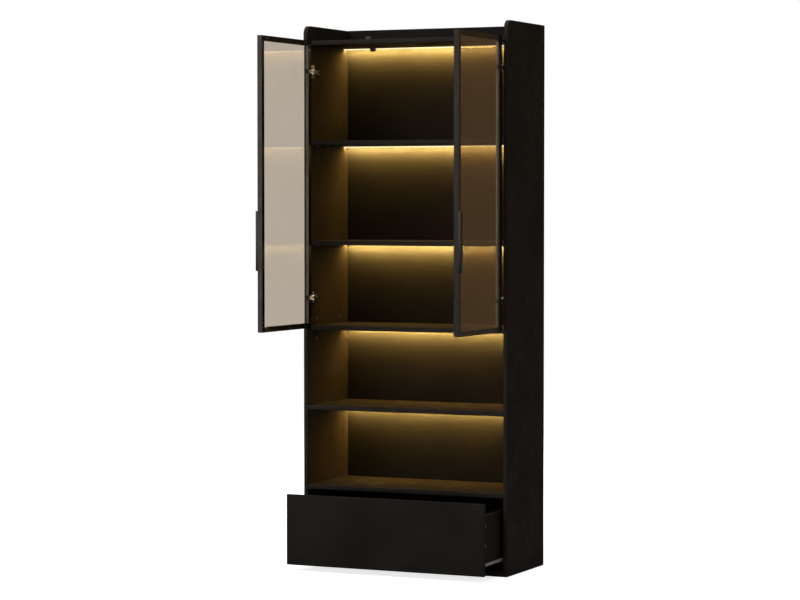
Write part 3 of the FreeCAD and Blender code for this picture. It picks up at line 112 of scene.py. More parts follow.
class BeadSizes(bpy.types.PropertyGroup):
    """The beads that line the openings of the door frames."""
    thickness: length("Thickness", "Thickness of the bead", 0.0008)
    sink: length("Sink", "From the bead to the frame's inner face", 0.0003)


class HandleSizes(bpy.types.PropertyGroup):
    """The bar handles."""
    softening: length("Softening", "Radius of the handle's edges", 0.0007)
    hollow_edge: length("Hollow's edge", "Wall on each side of the finger hollow", 0.0016)
    hollow_depth: length("Hollow's depth", "Depth of the finger hollow", 0.003)


class BoardFinish(bpy.types.PropertyGroup):
    """The black foil on the boards."""
    dark: colour("Dark", "Foil in darker patches", (0.0062, 0.0051, 0.0041))
    light: colour("Light", "Foil in lighter patches", (0.0098, 0.0081, 0.0066))
    dust: colour("Dust", "Fine dust that lies on the foil", (0.05, 0.047, 0.042))
    back_dark: colour("Back, dark", "Back foil in darker patches", (0.0042, 0.0036, 0.0029))
    back_light: colour("Back, light", "Back foil in lighter patches", (0.0057, 0.0049, 0.004))
    edge_dark: colour("Edge, dark", "Edge bands in darker patches", (0.0105, 0.0086, 0.0067))
    edge_light: colour("Edge, light", "Edge bands in lighter patches", (0.0145, 0.012, 0.0094))
    roughness: share("Roughness", "How matt the foil is", 0.62)
    gloss: share("Gloss", "How strongly the foil mirrors", 0.06)
    relief: length("Relief", "Height of the foil's fine grain", 0.00006)


class MetalFinish(bpy.types.PropertyGroup):
    """The door frames, hinges, slides and small fittings."""
    frame_dark: colour("Frame, dark", "Door frame in darker streaks", (0.0195, 0.0172, 0.0148))
    frame_light: colour("Frame, light", "Door frame in lighter streaks", (0.031, 0.0278, 0.0242))
    # The bead is a real piece; its pale tone, far paler than the frame, is a painted highlight
    # along the glass's edges.
    bead_with_highlight_dark: colour("Bead, dark", "Glazing bead in darker streaks", (0.1, 0.091, 0.083))
    bead_with_highlight_light: colour("Bead, light", "Glazing bead in lighter streaks", (0.15, 0.138, 0.127))
    handle_dark: colour("Handle, dark", "Handle in darker streaks", (0.0235, 0.0205, 0.0175))
    handle_light: colour("Handle, light", "Handle in lighter streaks", (0.036, 0.0325, 0.0285))
    nickel_dark: colour("Nickel, dark", "Hinge metal in darker patches", (0.52, 0.50, 0.46))
    nickel_light: colour("Nickel, light", "Hinge metal in lighter patches", (0.68, 0.66, 0.61))
    zinc_dark: colour("Zinc, dark", "Plated zinc in darker flakes", (0.36, 0.36, 0.35))
    zinc_light: colour("Zinc, light", "Plated zinc in lighter flakes", (0.58, 0.58, 0.56))
    cam_dark: colour("Cam, dark", "Joining cams in darker flakes", (0.1, 0.098, 0.093))
    cam_light: colour("Cam, light", "Joining cams in lighter flakes", (0.17, 0.166, 0.158))
    link_dark: colour("Link, dark", "Hinge links in darker patches", (0.52, 0.51, 0.5))
    link_light: colour("Link, light", "Hinge links in lighter patches", (0.66, 0.65, 0.64))
    enamel_dark: colour("Slide, dark", "Slide enamel in darker patches", (0.22, 0.2, 0.18))
    enamel_light: colour("Slide, light", "Slide enamel in lighter patches", (0.28, 0.26, 0.235))
    frame_roughness: share("Frame roughness", "How matt the anodised frame is", 0.32)
    screw_dark: colour("Screw, dark", "Screw steel in darker patches", (0.3, 0.29, 0.27))
    screw_light: colour("Screw, light", "Screw steel in lighter patches", (0.46, 0.45, 0.42))


class GlassFinish(bpy.types.PropertyGroup):
    """The tinted panes."""
    tint: colour("Tint", "Colour of what is seen through one pane", (0.56, 0.487, 0.395))
    smears: share("Smears", "How much the faint wipe marks darken the glass", 0.035)


class LightSettings(bpy.types.PropertyGroup):
    """The light bars under the boards."""
    glow: colour("Glow", "Colour of the light that spreads from the bars", (1.0, 0.62, 0.13))
    near_glow: colour("Near glow", "Colour of the light close to the bars", (1.0, 0.75, 0.25))
    lens: colour("Lens", "Colour of the lit diffuser", (1.0, 0.8, 0.46))
    lens_strength: amount("Lens strength", "How bright the diffuser itself looks", 1.4)
    power: watts("Power", "Light that each bar spreads downwards", 12.5)
    near_power: watts("Near power", "Light that each bar throws on the back", 23.5)
    lamp_gap: length("Lamp gap", "From each bar's lamps to the back panel", 0.025)
    lamp_drop: length("Lamp drop", "From the board's underside to each bar's lamps", 0.0045)
    rounding: length("Lens rounding", "Radius of the lens's lower edges", 0.0026)


class StageSettings(bpy.types.PropertyGroup):
    """Floor, backdrop, lamps and camera."""
    key_power: watts("Key power", "Large soft lamp in front on the left", 180)
    fill_power: watts("Fill power", "Low soft lamp in front on the left", 26)
    top_power: watts("Top power", "Large soft lamp overhead", 110)
    rear_power: watts("Rear power", "Large soft lamp behind", 90)
    ambient: amount("Ambient", "Even light from all round", 0.23)
    behind: colour("Behind", "Warm dim room that polished faces see behind the bookcase",
                   (0.25, 0.155, 0.075))
    floor: colour("Floor", "Floor colour", (0.86, 0.86, 0.86))
    floor_lift: amount("Floor lift", "Light added to the floor as the camera sees it", 0.78)
    floor_mirrored: amount("Floor mirrored", "How bright polished faces see the floor", 0.25)
    camera_place: FloatVectorProperty(name="Camera place", description="Where the camera stands",
                                      default=(3.925354, -8.751834, 1.333376), size=3,
                                      subtype="TRANSLATION", unit="LENGTH")
    camera_turn: amount("Camera turn", "Camera's turn to the left of straight ahead",
                        math.radians(24.674), unit="ROTATION")
    camera_dip: amount("Camera dip", "Camera's tilt below the horizon", math.radians(2.193),
                       unit="ROTATION")
    camera_lens: amount("Camera lens", "Focal length in millimetres on a 36 mm sensor", 118.86)


# ---------- materials

# Black of the plastic parts; also painted shade on the hinge links' ends where they lie in the
# cups' notches.
BLACK_AND_PAINTED_SHADE = (0.012, 0.011, 0.01)


class Tree:
    """The nodes of a material or a world, with the steps that its patterns are made of."""

    def __init__(self, owner):
        owner.use_nodes = True
        self.owner = owner
        self.nodes = owner.node_tree.nodes
        self.shader = self.nodes.get("Principled BSDF")

    def fill(self, socket, value):
        """Links an input to another node's output, or sets it to a plain number or colour."""
        if isinstance(value, bpy.types.NodeSocket):
            self.owner.node_tree.links.new(value, socket)
        elif socket.type == "RGBA":
            socket.default_value = (*value, 1)
        else:
            socket.default_value = value

    def give(self, name, value):
        """Fills one of the shader's inputs."""
        self.fill(self.shader.inputs[name], value)

    def add(self, kind, inputs, output=0, **settings):
        """Adds a node, fills its inputs and returns one of its outputs."""
        node = self.nodes.new("ShaderNode" + kind)
        for name, value in settings.items():
            setattr(node, name, value)
        for key, value in inputs.items():
            self.fill(node.inputs[key], value)
        return node.outputs[output]

    def place(self, stretch=(1, 1, 1)):
        """Object coordinates, stretched where a pattern runs along the piece."""
        return self.add("Mapping", {"Vector": self.add("TexCoord", {}, "Object"),
                                    "Scale": stretch}, "Vector")

    def noise(self, place, scale, detail=2, roughness=0.5):
        """A noise pattern with the given number of patches in a metre."""
        return self.add("TexNoise", {"Vector": place, "Scale": scale, "Detail": detail,
                                     "Roughness": roughness}, "Fac")

    def spread(self, value, low, high, start=0.35, end=0.65):
        """Maps a pattern's middle range to values between low and high."""
        return self.add("MapRange", {"Value": value, "From Min": start, "From Max": end,
                                     "To Min": low, "To Max": high}, "Result")

    def blend(self, share_of_second, first, second):
        """Mixes two colours."""
        return self.add("Mix", {"Factor": share_of_second, 6: first, 7: second}, 2,
                        data_type="RGBA")

    def work_out(self, operation, first, second):
        """Makes one number of two."""
        return self.add("Math", {0: first, 1: second}, operation=operation)

    def patch(self, pattern, dark, light):
        """Colours the shader by a pattern, from a dark tone to a light one."""
        self.give("Base Color", self.blend(self.spread(pattern, 0, 1), dark, light))

    def dull(self, pattern, low, high):
        """Varies the shader's roughness by a pattern."""
        self.give("Roughness", self.spread(pattern, low, high))

    def relieve(self, pattern, height, strength):
        """Turns a pattern into relief of the given height."""
        self.give("Normal", self.add("Bump", {"Height": pattern, "Distance": height,
                                              "Strength": strength}, "Normal"))


def board_foil(name, dark, light, finish):
    """Matt black foil: faint patches, a pebbled grain, and a little dust in it."""
    tree = Tree(bpy.data.materials.new(name))
    place = tree.place()
    tone = tree.blend(tree.spread(tree.noise(place, 5, 4), 0, 1), dark, light)
    specks = tree.spread(tree.noise(place, 1400, 1), 0, 0.12, 0.62, 0.8)
    tree.give("Base Color", tree.blend(specks, tone, finish.dust))
    rub = tree.noise(place, 14, 5, 0.6)
    tree.dull(rub, finish.roughness - 0.07, finish.roughness + 0.07)
    tree.give("Specular IOR Level", finish.gloss)
    tree.relieve(tree.noise(place, 900, 3), finish.relief, 0.6)
    return tree.owner


def drawn_metal(name, dark, light, roughness, stretch, relief=0.000003):
    """Metal drawn or brushed in one direction: long fine streaks in colour, gloss and relief."""
    tree = Tree(bpy.data.materials.new(name))
    streaks = tree.noise(tree.place(stretch), 1)
    tree.patch(streaks, dark, light)
    haze = tree.noise(tree.place(), 22, 4)
    tree.dull(haze, roughness - 0.05, roughness + 0.06)
    tree.give("Metallic", 1)
    tree.relieve(streaks, relief, 0.4)
    return tree.owner


def plated_metal(name, dark, light, roughness, flake):
    """Plated metal: flakes of crystal and slight clouding."""
    tree = Tree(bpy.data.materials.new(name))
    place = tree.place()
    cells = tree.add("TexVoronoi", {"Scale": flake, "Vector": place}, "Distance")
    flakes = tree.spread(cells, 0, 1, 0.1, 0.7)
    tree.give("Base Color", tree.blend(flakes, dark, light))
    cloud = tree.noise(place, 160, 3)
    tree.dull(cloud, roughness - 0.06, roughness + 0.08)
    tree.give("Metallic", 1)
    tree.relieve(cloud, 0.00004, 0.4)
    return tree.owner


def satin_metal(name, dark, light, shaded_before):
    """Satin plate with a fine blasted skin, blackened on the side in front of a given depth."""
    tree = Tree(bpy.data.materials.new(name))
    place = tree.place()
    cloud = tree.noise(place, 220, 3)
    plain = tree.blend(tree.spread(cloud, 0, 1), dark, light)
    depth = tree.add("SeparateXYZ", {0: place}, "Y")
    # Painted shade: in front of the given depth the plate is black, as the notch it lies in is
    # dark.
    unshaded = tree.spread(depth, 0, 1, shaded_before - 0.4 * MM, shaded_before)
    tree.give("Base Color", tree.blend(unshaded, BLACK_AND_PAINTED_SHADE, plain))
    tree.dull(cloud, 0.34, 0.46)
    tree.give("Metallic", 0.3)
    tree.relieve(tree.noise(place, 2200), 0.00002, 0.4)
    return tree.owner


def moulded(name, dark, light, roughness, grain=700, relief=0.00005, gloss=0.3):
    """Moulded plastic, rubber or enamel: near-even colour with a fine pebbled skin."""
    tree = Tree(bpy.data.materials.new(name))
    place = tree.place()
    patches = tree.noise(place, 40, 3)
    tree.patch(patches, dark, light)
    tree.dull(patches, roughness - 0.05, roughness + 0.05)
    tree.give("Specular IOR Level", gloss)
    tree.relieve(tree.noise(place, grain), relief, 0.5)
    return tree.owner


def beech(name):
    """Turned beech: grain along the rod with short darker flecks."""
    tree = Tree(bpy.data.materials.new(name))
    grain = tree.noise(tree.place((60, 900, 900)), 1, 5, 0.6)
    tree.patch(grain, (0.42, 0.27, 0.14), (0.62, 0.45, 0.27))
    tree.dull(grain, 0.55, 0.75)
    tree.relieve(grain, 0.0001, 0.5)
    return tree.owner


def pane_glass(name, finish):
    """Clear tinted glass with faint wipe marks."""
    tree = Tree(bpy.data.materials.new(name))
    tree.give("Roughness", 0)
    tree.give("Transmission Weight", 1)
    tree.give("IOR", 1.5)
    wiped = tree.noise(tree.place((3, 3, 1.2)), 6, 6, 0.62)
    smeared = [channel * (1 - finish.smears) for channel in finish.tint]
    marks = tree.spread(wiped, 0, 1, 0.45, 0.75)
    tree.give("Base Color", tree.blend(marks, finish.tint, smeared))
    return tree.owner


def lit_lens(name, light):
    """Milky diffuser, lit from behind by a row of small lamps."""
    tree = Tree(bpy.data.materials.new(name))
    tree.give("Base Color", (0.85, 0.8, 0.68))
    tree.give("Roughness", 0.5)
    tree.give("Emission Color", light.lens)
    place = tree.add("TexCoord", {}, "Object")
    lamps = tree.add("TexWave", {"Vector": place, "Scale": 19}, "Fac",
                     bands_direction="X", wave_profile="SIN")
    tree.give("Emission Strength", tree.spread(lamps, light.lens_strength * 0.85,
                                               light.lens_strength, 0, 1))
    tree.relieve(tree.noise(place, 300), 0.00003, 0.4)
    return tree.owner


# Streaks run along a piece's own length.
ALONG_X = (9, 900, 900)
ALONG_Y = (900, 9, 900)
ALONG_Z = (900, 900, 9)
BROAD_ALONG_Z = (60, 60, 4)


def make_finishes(scene):
    """All the materials by name."""
    board = scene.bookcase_boards
    metal = scene.bookcase_metal
    return {
        "black_board": board_foil("Board foil", board.dark, board.light, board),
        "black_back": board_foil("Back foil", board.back_dark, board.back_light, board),
        "black_plastic": moulded("Black plastic", BLACK_AND_PAINTED_SHADE, (0.02, 0.019, 0.018), 0.5),
        "sensor_window": moulded("Sensor window", (0.018, 0.004, 0.004), (0.03, 0.008, 0.007),
                                 0.12, gloss=0.5),
        "channel_metal": drawn_metal("Light channel", (0.06, 0.055, 0.05), (0.1, 0.094, 0.088),
                                     0.4, ALONG_X),
        "strip_board": moulded("Light strip", (0.7, 0.66, 0.55), (0.82, 0.78, 0.66), 0.5),
        "warm_diffuser": lit_lens("Light lens", scene.bookcase_light),
        "zinc": plated_metal("Plated zinc", metal.zinc_dark, metal.zinc_light, 0.36, 900),
        "cam_zinc": plated_metal("Cam zinc", metal.cam_dark, metal.cam_light, 0.42, 900),
        # The hinge links are black in front of the cups' rear face: painted shade where they lie
        # in the notch.
        "link_metal": satin_metal("Hinge link", metal.link_dark, metal.link_light,
                                  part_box("door_left_hinge_cups")[1].y - 0.5 * MM),
        "dowel_wood": beech("Beech"),
        "nickel": plated_metal("Nickel", metal.nickel_dark, metal.nickel_light, 0.2, 420),
        "slide_metal": moulded("Slide enamel", metal.enamel_dark, metal.enamel_light, 0.38, 500,
                               0.00003, 0.5),
        "edge_foil": board_foil("Edge foil", board.edge_dark, board.edge_light, board),
        "screw_steel": plated_metal("Screw steel", metal.screw_dark, metal.screw_light, 0.3, 600),
        "roller_plastic": moulded("Roller nylon", (0.72, 0.72, 0.69), (0.82, 0.82, 0.8), 0.42),
        "bracket_metal": moulded("Bracket enamel", (0.02, 0.02, 0.02), (0.034, 0.034, 0.034), 0.4),
        "dark_aluminium": drawn_metal("Upright frame", metal.frame_dark, metal.frame_light,
                                      metal.frame_roughness, ALONG_Z),
        "level_aluminium": drawn_metal("Level frame", metal.frame_dark, metal.frame_light,
                                       metal.frame_roughness, ALONG_Y),
        # Pale bead metal: a painted highlight along the edges of the glass.
        "bead_aluminium": drawn_metal("Glazing bead", metal.bead_with_highlight_dark, metal.bead_with_highlight_light,
                                      metal.frame_roughness + 0.16, BROAD_ALONG_Z, 0),
        "handle_aluminium": drawn_metal("Handle", metal.handle_dark, metal.handle_light, 0.3,
                                        ALONG_Z),
        "tinted_glass": pane_glass("Tinted glass", scene.bookcase_glass),
        "gasket_rubber": moulded("Gasket rubber", (0.008, 0.008, 0.008), (0.016, 0.016, 0.015),
                                 0.7),
    }


def coat(item, finish):
    """Gives a piece or a CAD node one material all over."""
    item.data.materials.clear()
    item.data.materials.append(bpy.data.materials[finish])


# ---------- modelling by hand

CLOSE = 1e-5
SLIP = 0.02 * MM
SMOOTH_BELOW = math.radians(35)
# The turn that makes an upward model face each way.
FACING = {"+X": (0, math.pi / 2, 0), "-X": (0, -math.pi / 2, 0), "+Z": (0, 0, 0),
          "-Z": (math.pi, 0, 0)}
# Each side, the sign of X towards the middle, and the facings inwards and outwards.
SIDES = (("left", 1, "+X", "-X"), ("right", -1, "-X", "+X"))
LIT_BOARDS = ("top_panel", "upper_shelf", "middle_shelf", "fixed_shelf", "open_shelf")

# Half the length and half the width of the cross in a screw head, as shares of its radius.
RECESS = (0.55, 0.13)
# The steps of a round face, each a width inwards and a rise.
CAM_STEPS = ((0.25 * MM, 0.1 * MM), (1.1 * MM, 0), (0.3 * MM, -0.5 * MM), (0.3 * MM, 0.3 * MM))
CAP_STEPS = ((0.5 * MM, 0.35 * MM), (3.5 * MM, 0.15 * MM))
AXLE_STEPS = ((0.5 * MM, 0.25 * MM), (1.0 * MM, 0), (0.2 * MM, -0.3 * MM))
WINDOW_STEPS = ((0.7 * MM, 0.2 * MM), (1.2 * MM, -0.25 * MM))
CAM_RIM = 1.75 * MM
CAM_CROSS = (3.4 * MM, 0.7 * MM, -0.25 * MM)
# Seam cams: before and behind the panels' middle, and above and below the seam.
SEAM_CAM_DEPTHS = (-98 * MM, 98 * MM)
SEAM_CAM_RISE = 37 * MM
# The drawer's joints: heights, the cams behind the side's front end, the screws before its rear.
DRAWER_ROWS = (123 * MM, 193 * MM)
DRAWER_CAM_DEPTH = 24 * MM
DRAWER_SCREW_DEPTH = 6 * MM
# Cam caps under the boards: across and in depth.
CAPPED_BOARDS = ("top_panel", "fixed_shelf", "open_shelf", "drawer_ceiling")
CAP_SPANS = (-361 * MM, 361 * MM)
CAP_DEPTHS = (-66 * MM, 66 * MM)
# Hinge screws: from the panel's inner face, from its front edge, and above the hinge's middle.
HINGE_SCREWS = {
    "lower_plate": (2.5 * MM, 43 * MM, -16 * MM),
    "upper_plate": (2.5 * MM, 43 * MM, 16 * MM),
    "holding": (5 * MM, 67 * MM, 0),
    "adjusting": (14 * MM, 47 * MM, 0),
}
LINK_HEIGHT = 14 * MM
CUP_HEIGHT = 17 * MM
# Runner screws behind the runner's front end, and the runner's thickness.
RUNNER_SCREW_DEPTHS = (46 * MM, 238 * MM)
RUNNER_WEB = 1.2 * MM
# Bracket screws: across, before the bracket's rear, and the bracket's thickness.
BRACKET_SPANS = (-300 * MM, 300 * MM)
BRACKET_SCREW_DEPTH = 20 * MM
BRACKET_THICKNESS = 2 * MM
ROLLER_WIDTH = 6 * MM
PIN_RADIUS = 2.5 * MM
PIN_NOSE = 8 * MM
PIN_TAIL = -5 * MM
LAMP_WIDTH = 4 * MM


def only(*items):
    """Selects just these objects; the last one is the active one."""
    bpy.ops.object.select_all(action="DESELECT")
    for item in items:
        item.select_set(True)
        bpy.context.view_layer.objects.active = item


def settled(name):
    """Names the new object and puts its place, turn and size into its mesh."""
    item = bpy.context.object
    item.name = item.data.name = name
    bpy.ops.object.transform_apply(location=True, rotation=True, scale=True)
    return item


def block(name, low, high):
    """A box between two corners."""
    bpy.ops.object.select_all(action="DESELECT")
    low, high = Vector(low), Vector(high)
    bpy.ops.mesh.primitive_cube_add(size=1, location=(low + high) / 2, scale=high - low)
    return settled(name)


def upright_rod(name, radius, low, high, sides=24):
    """A rod around the Z axis between two heights."""
    bpy.ops.object.select_all(action="DESELECT")
    bpy.ops.mesh.primitive_cylinder_add(vertices=sides, radius=radius, depth=high - low,
                                        location=(0, 0, (low + high) / 2))
    return settled(name)


def open_mesh(item):
    """Opens a piece in edit mode."""
    only(item)
    bpy.ops.object.mode_set(mode="EDIT")


def close_mesh():
    """Leaves edit mode."""
    bpy.ops.object.mode_set(mode="OBJECT")


def pick_faces(item, test):
    """Selects the faces whose middle and normal pass the test."""
    bpy.ops.mesh.select_mode(type="FACE")
    bpy.ops.mesh.select_all(action="DESELECT")
    mesh = bmesh.from_edit_mesh(item.data)
    for face in mesh.faces:
        if test(face.calc_center_median(), face.normal):
            face.select_set(True)
    bmesh.update_edit_mesh(item.data)


def pick_edges(item, test):
    """Selects the edges whose middle and direction pass the test."""
    bpy.ops.mesh.select_mode(type="EDGE")
    bpy.ops.mesh.select_all(action="DESELECT")
    mesh = bmesh.from_edit_mesh(item.data)
    for edge in mesh.edges:
        start, end = (corner.co for corner in edge.verts)
        if test((start + end) / 2, (end - start).normalized()):
            edge.select_set(True)
    bmesh.update_edit_mesh(item.data)


def turn_outward(item):
    """Turns all the faces over where they point into the piece."""
    mesh = bmesh.from_edit_mesh(item.data)
    if mesh.calc_volume(signed=True) < 0:
        bpy.ops.mesh.select_all(action="SELECT")
        bpy.ops.mesh.flip_normals()


def near(a, b):
    """Whether two places are one."""
    return abs(a - b) < CLOSE


def upward(middle, normal):
    """Picks the faces that look up."""
    return normal.z > 0.9


def step_top(item, steps):
    """Insets a piece's top again and again, each time by a width and a rise."""
    open_mesh(item)
    pick_faces(item, upward)
    for width, rise in steps:
        bpy.ops.mesh.inset(thickness=width, depth=rise)
    close_mesh()


def round_edges(item, radius, segments, test):
    """Rounds the edges that pass the test."""
    open_mesh(item)
    pick_edges(item, test)
    bpy.ops.mesh.bevel(offset=radius, segments=segments, affect="EDGES")
    close_mesh()


def pull(shift):
    """Extrudes what is selected by a shift."""
    bpy.ops.mesh.extrude_region_move(TRANSFORM_OT_translate={"value": shift})


def carve(item, low, high):
    """Cuts a box out of a piece."""
    cutter = block("Cutter", low, high)
    only(item)
    cut = item.modifiers.new("Recess", "BOOLEAN")
    cut.operation = "DIFFERENCE"
    cut.solver = "EXACT"
    cut.object = cutter
    bpy.ops.object.modifier_apply(modifier=cut.name)
    put_away(cutter)


def cross_recess(item, arm, half, floor):
    """Cuts the cross for a screwdriver down to a height."""
    above = 10 * MM
    carve(item, (-arm, -half, floor), (arm, half, above))
    carve(item, (-half, -arm, floor), (half, arm, above))


def paint_faces(item, finish, test):
    """Gives the faces that pass the test a second material."""
    item.data.materials.append(bpy.data.materials[finish])
    open_mesh(item)
    pick_faces(item, test)
    item.active_material_index = len(item.data.materials) - 1
    bpy.ops.object.material_slot_assign()
    close_mesh()


def put_copy(model, name, body, place, facing):
    """Copies a model with its mesh, turns the copy, puts it in its place and gives it its body."""
    only(model)
    bpy.ops.object.duplicate()
    copy = bpy.context.object
    copy.rotation_euler = FACING[facing]
    copy.location = place
    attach(settled(name), body)


def put_away(*models):
    """Deletes what has served its purpose."""
    only(*models)
    bpy.ops.object.delete()


def put_rows(model, name, body, walls, depths, heights):
    """Numbered copies of a model on facing walls, at every depth and height."""
    for number, ((x, facing), y, z) in enumerate(product(walls, depths, heights), 1):
        put_copy(model, f"{name}_{number}", body, (x, y, z), facing)


def dressed(item, finish, body=None):
    """Smooths a piece and gives it its slot, its material and, unless it is a model, its body."""
    only(item)
    bpy.ops.object.shade_smooth_by_angle(angle=SMOOTH_BELOW)
    coat(item, finish)
    if body:
        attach(item, body)
    return item


def pan_head(name, radius, height):
    """A domed screw head with a cross recess, seated at the origin and facing up."""
    head = upright_rod(name, radius, -0.2 * MM, height * 0.5)
    step_top(head, ((radius * 0.1, height * 0.22), (radius * 0.2, height * 0.2),
                    (radius * 0.25, height * 0.08)))
    arm, half = RECESS
    cross_recess(head, radius * arm, radius * half, height * 0.4)
    return dressed(head, "Screw steel")


def add_lamp(name, place, target, size, power, colour_of_light=(1, 1, 1)):
    """A soft square lamp that faces a point."""
    bpy.ops.object.light_add(type="AREA", location=place)
    lamp = bpy.context.object
    lamp.name = name
    lamp.data.shape = "RECTANGLE"
    lamp.data.size, lamp.data.size_y = size
    lamp.data.energy = power
    lamp.data.color = colour_of_light
    lamp.rotation_euler = (Vector(target) - Vector(place)).to_track_quat("-Z", "Y").to_euler()
    return lamp


# ---------- operators

class BOOKCASE_OT_finishes(bpy.types.Operator):
    """Makes the materials and gives every packed node its own"""
    bl_idname = "bookcase.finishes"
    bl_label = "Finishes"

    def execute(self, context):
        finishes = make_finishes(context.scene)
        for row in frame["record"]["subparts"]:
            name, slot = row["node"], row["material_slot"]
            if "_rail_" in name:
                slot = "level_aluminium"
            if name.endswith("_handle"):
                slot = "handle_aluminium"
            # The links take the finish with painted shade at their ends in the cups.
            if name.startswith("hinge_links"):
                slot = "link_metal"
            coat(frame["nodes"][name], finishes[slot].name)
        return {"FINISHED"}


class BOOKCASE_OT_edge_bands(bpy.types.Operator):
    """Lays foil bands on the front edges of the boards and of the side panels"""
    bl_idname = "bookcase.edge_bands"
    bl_label = "Edge bands"

    def execute(self, context):
        sizes = context.scene.bookcase_bands
        for board in (*LIT_BOARDS, "drawer_ceiling", "bottom_panel"):
            self.flat_band(sizes, board, 0)
        for side, *_ in SIDES:
            self.flat_band(sizes, f"side_panel_{side}_lower", 2)
            self.corner_band(sizes, f"side_panel_{side}_upper")
        return {"FINISHED"}

    def flat_band(self, sizes, board, axis):
        """A straight band along an axis; its two long front edges are rounded."""
        low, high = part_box(board)
        front = low.y - sizes.thickness
        band = block(board + "_band", (low.x + SLIP, front, low.z + SLIP),
                     (high.x - SLIP, low.y + sizes.wrap, high.z - SLIP))
        round_edges(band, sizes.rounding, 3,
                    lambda middle, run: near(middle.y, front) and abs(run[axis]) > 0.9)
        dressed(band, "Edge foil", "cabinet")

    def corner_band(self, sizes, panel):
        """A band up the front edge, over the rounded corner and along the top to the rear."""
        low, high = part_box(panel)
        start = 10 * MM
        front = low.y - sizes.thickness
        radius = sizes.corner + sizes.thickness
        centre = Vector((0, front + radius, high.z - SLIP - radius))
        band = block(panel + "_band", (low.x + SLIP, front, low.z + SLIP),
                     (high.x - SLIP, low.y + sizes.wrap, low.z + start))
        open_mesh(band)
        pick_faces(band, upward)
        pull((0, 0, centre.z - low.z - start))
        bpy.ops.mesh.spin(steps=12, angle=math.pi / 2, center=centre, axis=(1, 0, 0))
        pull((0, high.y - SLIP - centre.y, 0))
        bpy.ops.mesh.select_all(action="SELECT")
        bpy.ops.mesh.remove_doubles(threshold=CLOSE)
        bpy.ops.mesh.select_mode(type="FACE")
        bpy.ops.mesh.select_all(action="DESELECT")
        bpy.ops.mesh.select_interior_faces()
        bpy.ops.mesh.delete(type="FACE")
        bpy.ops.mesh.select_all(action="SELECT")
        bpy.ops.mesh.normals_make_consistent(inside=False)
        turn_outward(band)
        close_mesh()

        def outermost(middle, run):
            if abs(run.x) > 0.9:
                return False
            if middle.z <= centre.z + CLOSE:
                return near(middle.y, front) and abs(run.z) > 0.9
            if middle.y >= centre.y - CLOSE:
                return near(middle.z, high.z - SLIP) and abs(run.y) > 0.9
            return abs((middle - centre).yz.length - radius) < 0.2 * MM
        round_edges(band, sizes.rounding, 3, outermost)
        dressed(band, "Edge foil", "cabinet")


class BOOKCASE_OT_handles(bpy.types.Operator):
    """Makes the two bar handles, with a finger hollow along the side that faces the glass"""
    bl_idname = "bookcase.handles"
    bl_label = "Handles"

    def execute(self, context):
        sizes = context.scene.bookcase_handles
        for side, *_ in SIDES:
            node = f"door_{side}_handle"
            handle = block(f"{side}_handle_bar", *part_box(node))
            open_mesh(handle)
            pick_faces(handle, lambda middle, normal: normal.y > 0.9)
            bpy.ops.mesh.inset(thickness=sizes.hollow_edge, depth=0)
            pull((0, -sizes.hollow_depth, 0))
            close_mesh()
            round_edges(handle, sizes.softening, 2, lambda middle, run: True)
            dressed(handle, "Handle", f"{side}_door")
            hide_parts(node)
        return {"FINISHED"}


class BOOKCASE_OT_glazing_beads(bpy.types.Operator):
    """Lines the opening of each door frame with a thin bead, cut away at the hinge cups"""
    bl_idname = "bookcase.glazing_beads"
    bl_label = "Glazing beads"

    def execute(self, context):
        sizes = context.scene.bookcase_beads
        for side, sign, *_ in SIDES:
            free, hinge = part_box(f"door_{side}_stile_free"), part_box(f"door_{side}_stile_hinge")
            lower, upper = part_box(f"door_{side}_rail_bottom"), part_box(f"door_{side}_rail_top")
            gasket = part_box(f"door_{side}_gasket")
            inner = 1 if sign > 0 else 0
            seat, face = gasket[inner].x, free[inner].x - sign * sizes.sink
            bead = block(f"{side}_glazing_bead", (min(seat, face), free[1].y, lower[1].z),
                         (max(seat, face), hinge[0].y, upper[0].z))
            open_mesh(bead)
            pick_faces(bead, lambda middle, normal: abs(normal.x) > 0.9)
            bpy.ops.mesh.inset(thickness=sizes.thickness, depth=0)
            bpy.ops.mesh.bridge_edge_loops()
            close_mesh()
            low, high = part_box(f"door_{side}_hinge_cups")
            for bottom in (low.z, high.z - CUP_HEIGHT):
                carve(bead, (low.x - MM, hinge[0].y - 2 * MM, bottom - 0.1 * MM),
                      (high.x + MM, hinge[0].y + MM, bottom + CUP_HEIGHT + 0.1 * MM))
            # The bead's pale finish is a painted highlight along the glass's edges.
            dressed(bead, "Glazing bead", f"{side}_door")
        return {"FINISHED"}


class BOOKCASE_OT_corner_screws(bpy.types.Operator):
    """Puts pairs of small flush screws in each member near the door frames' corners"""
    bl_idname = "bookcase.corner_screws"
    bl_label = "Corner screws"

    def execute(self, context):
        sizes = context.scene.bookcase_fittings
        screw = self.model(sizes.dot_radius)
        for side, sign, facing, _ in SIDES:
            low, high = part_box(f"door_{side}_stile_free")
            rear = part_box(f"door_{side}_stile_hinge")[1].y
            face = high.x if sign > 0 else low.x
            half = (high.y - low.y) / 2
            places = []
            ends, edges = ((low.z, 1), (high.z, -1)), ((low.y, 1), (rear, -1))
            for (end, inward), (edge, into) in product(ends, edges):
                for away in (sizes.dot_near, sizes.dot_middle):
                    places.append((face, edge + into * half, end + inward * away))
                for away in (sizes.dot_middle, sizes.dot_far):
                    places.append((face, edge + into * away, end + inward * half))
            for number, place in enumerate(places, 1):
                put_copy(screw, f"{side}_corner_screw_{number:02d}", f"{side}_door", place, facing)
        put_away(screw)
        return {"FINISHED"}

    def model(self, radius):
        """A flush head: a thin rim, a sunk ring and a cross recess."""
        screw = upright_rod("Corner_screw", radius, -0.3 * MM, 0.15 * MM)
        step_top(screw, ((radius * 0.14, 0), (radius * 0.08, -0.12 * MM)))
        arm, half = RECESS
        cross_recess(screw, radius * arm, radius * half, -0.15 * MM)
        return dressed(screw, "Screw steel")


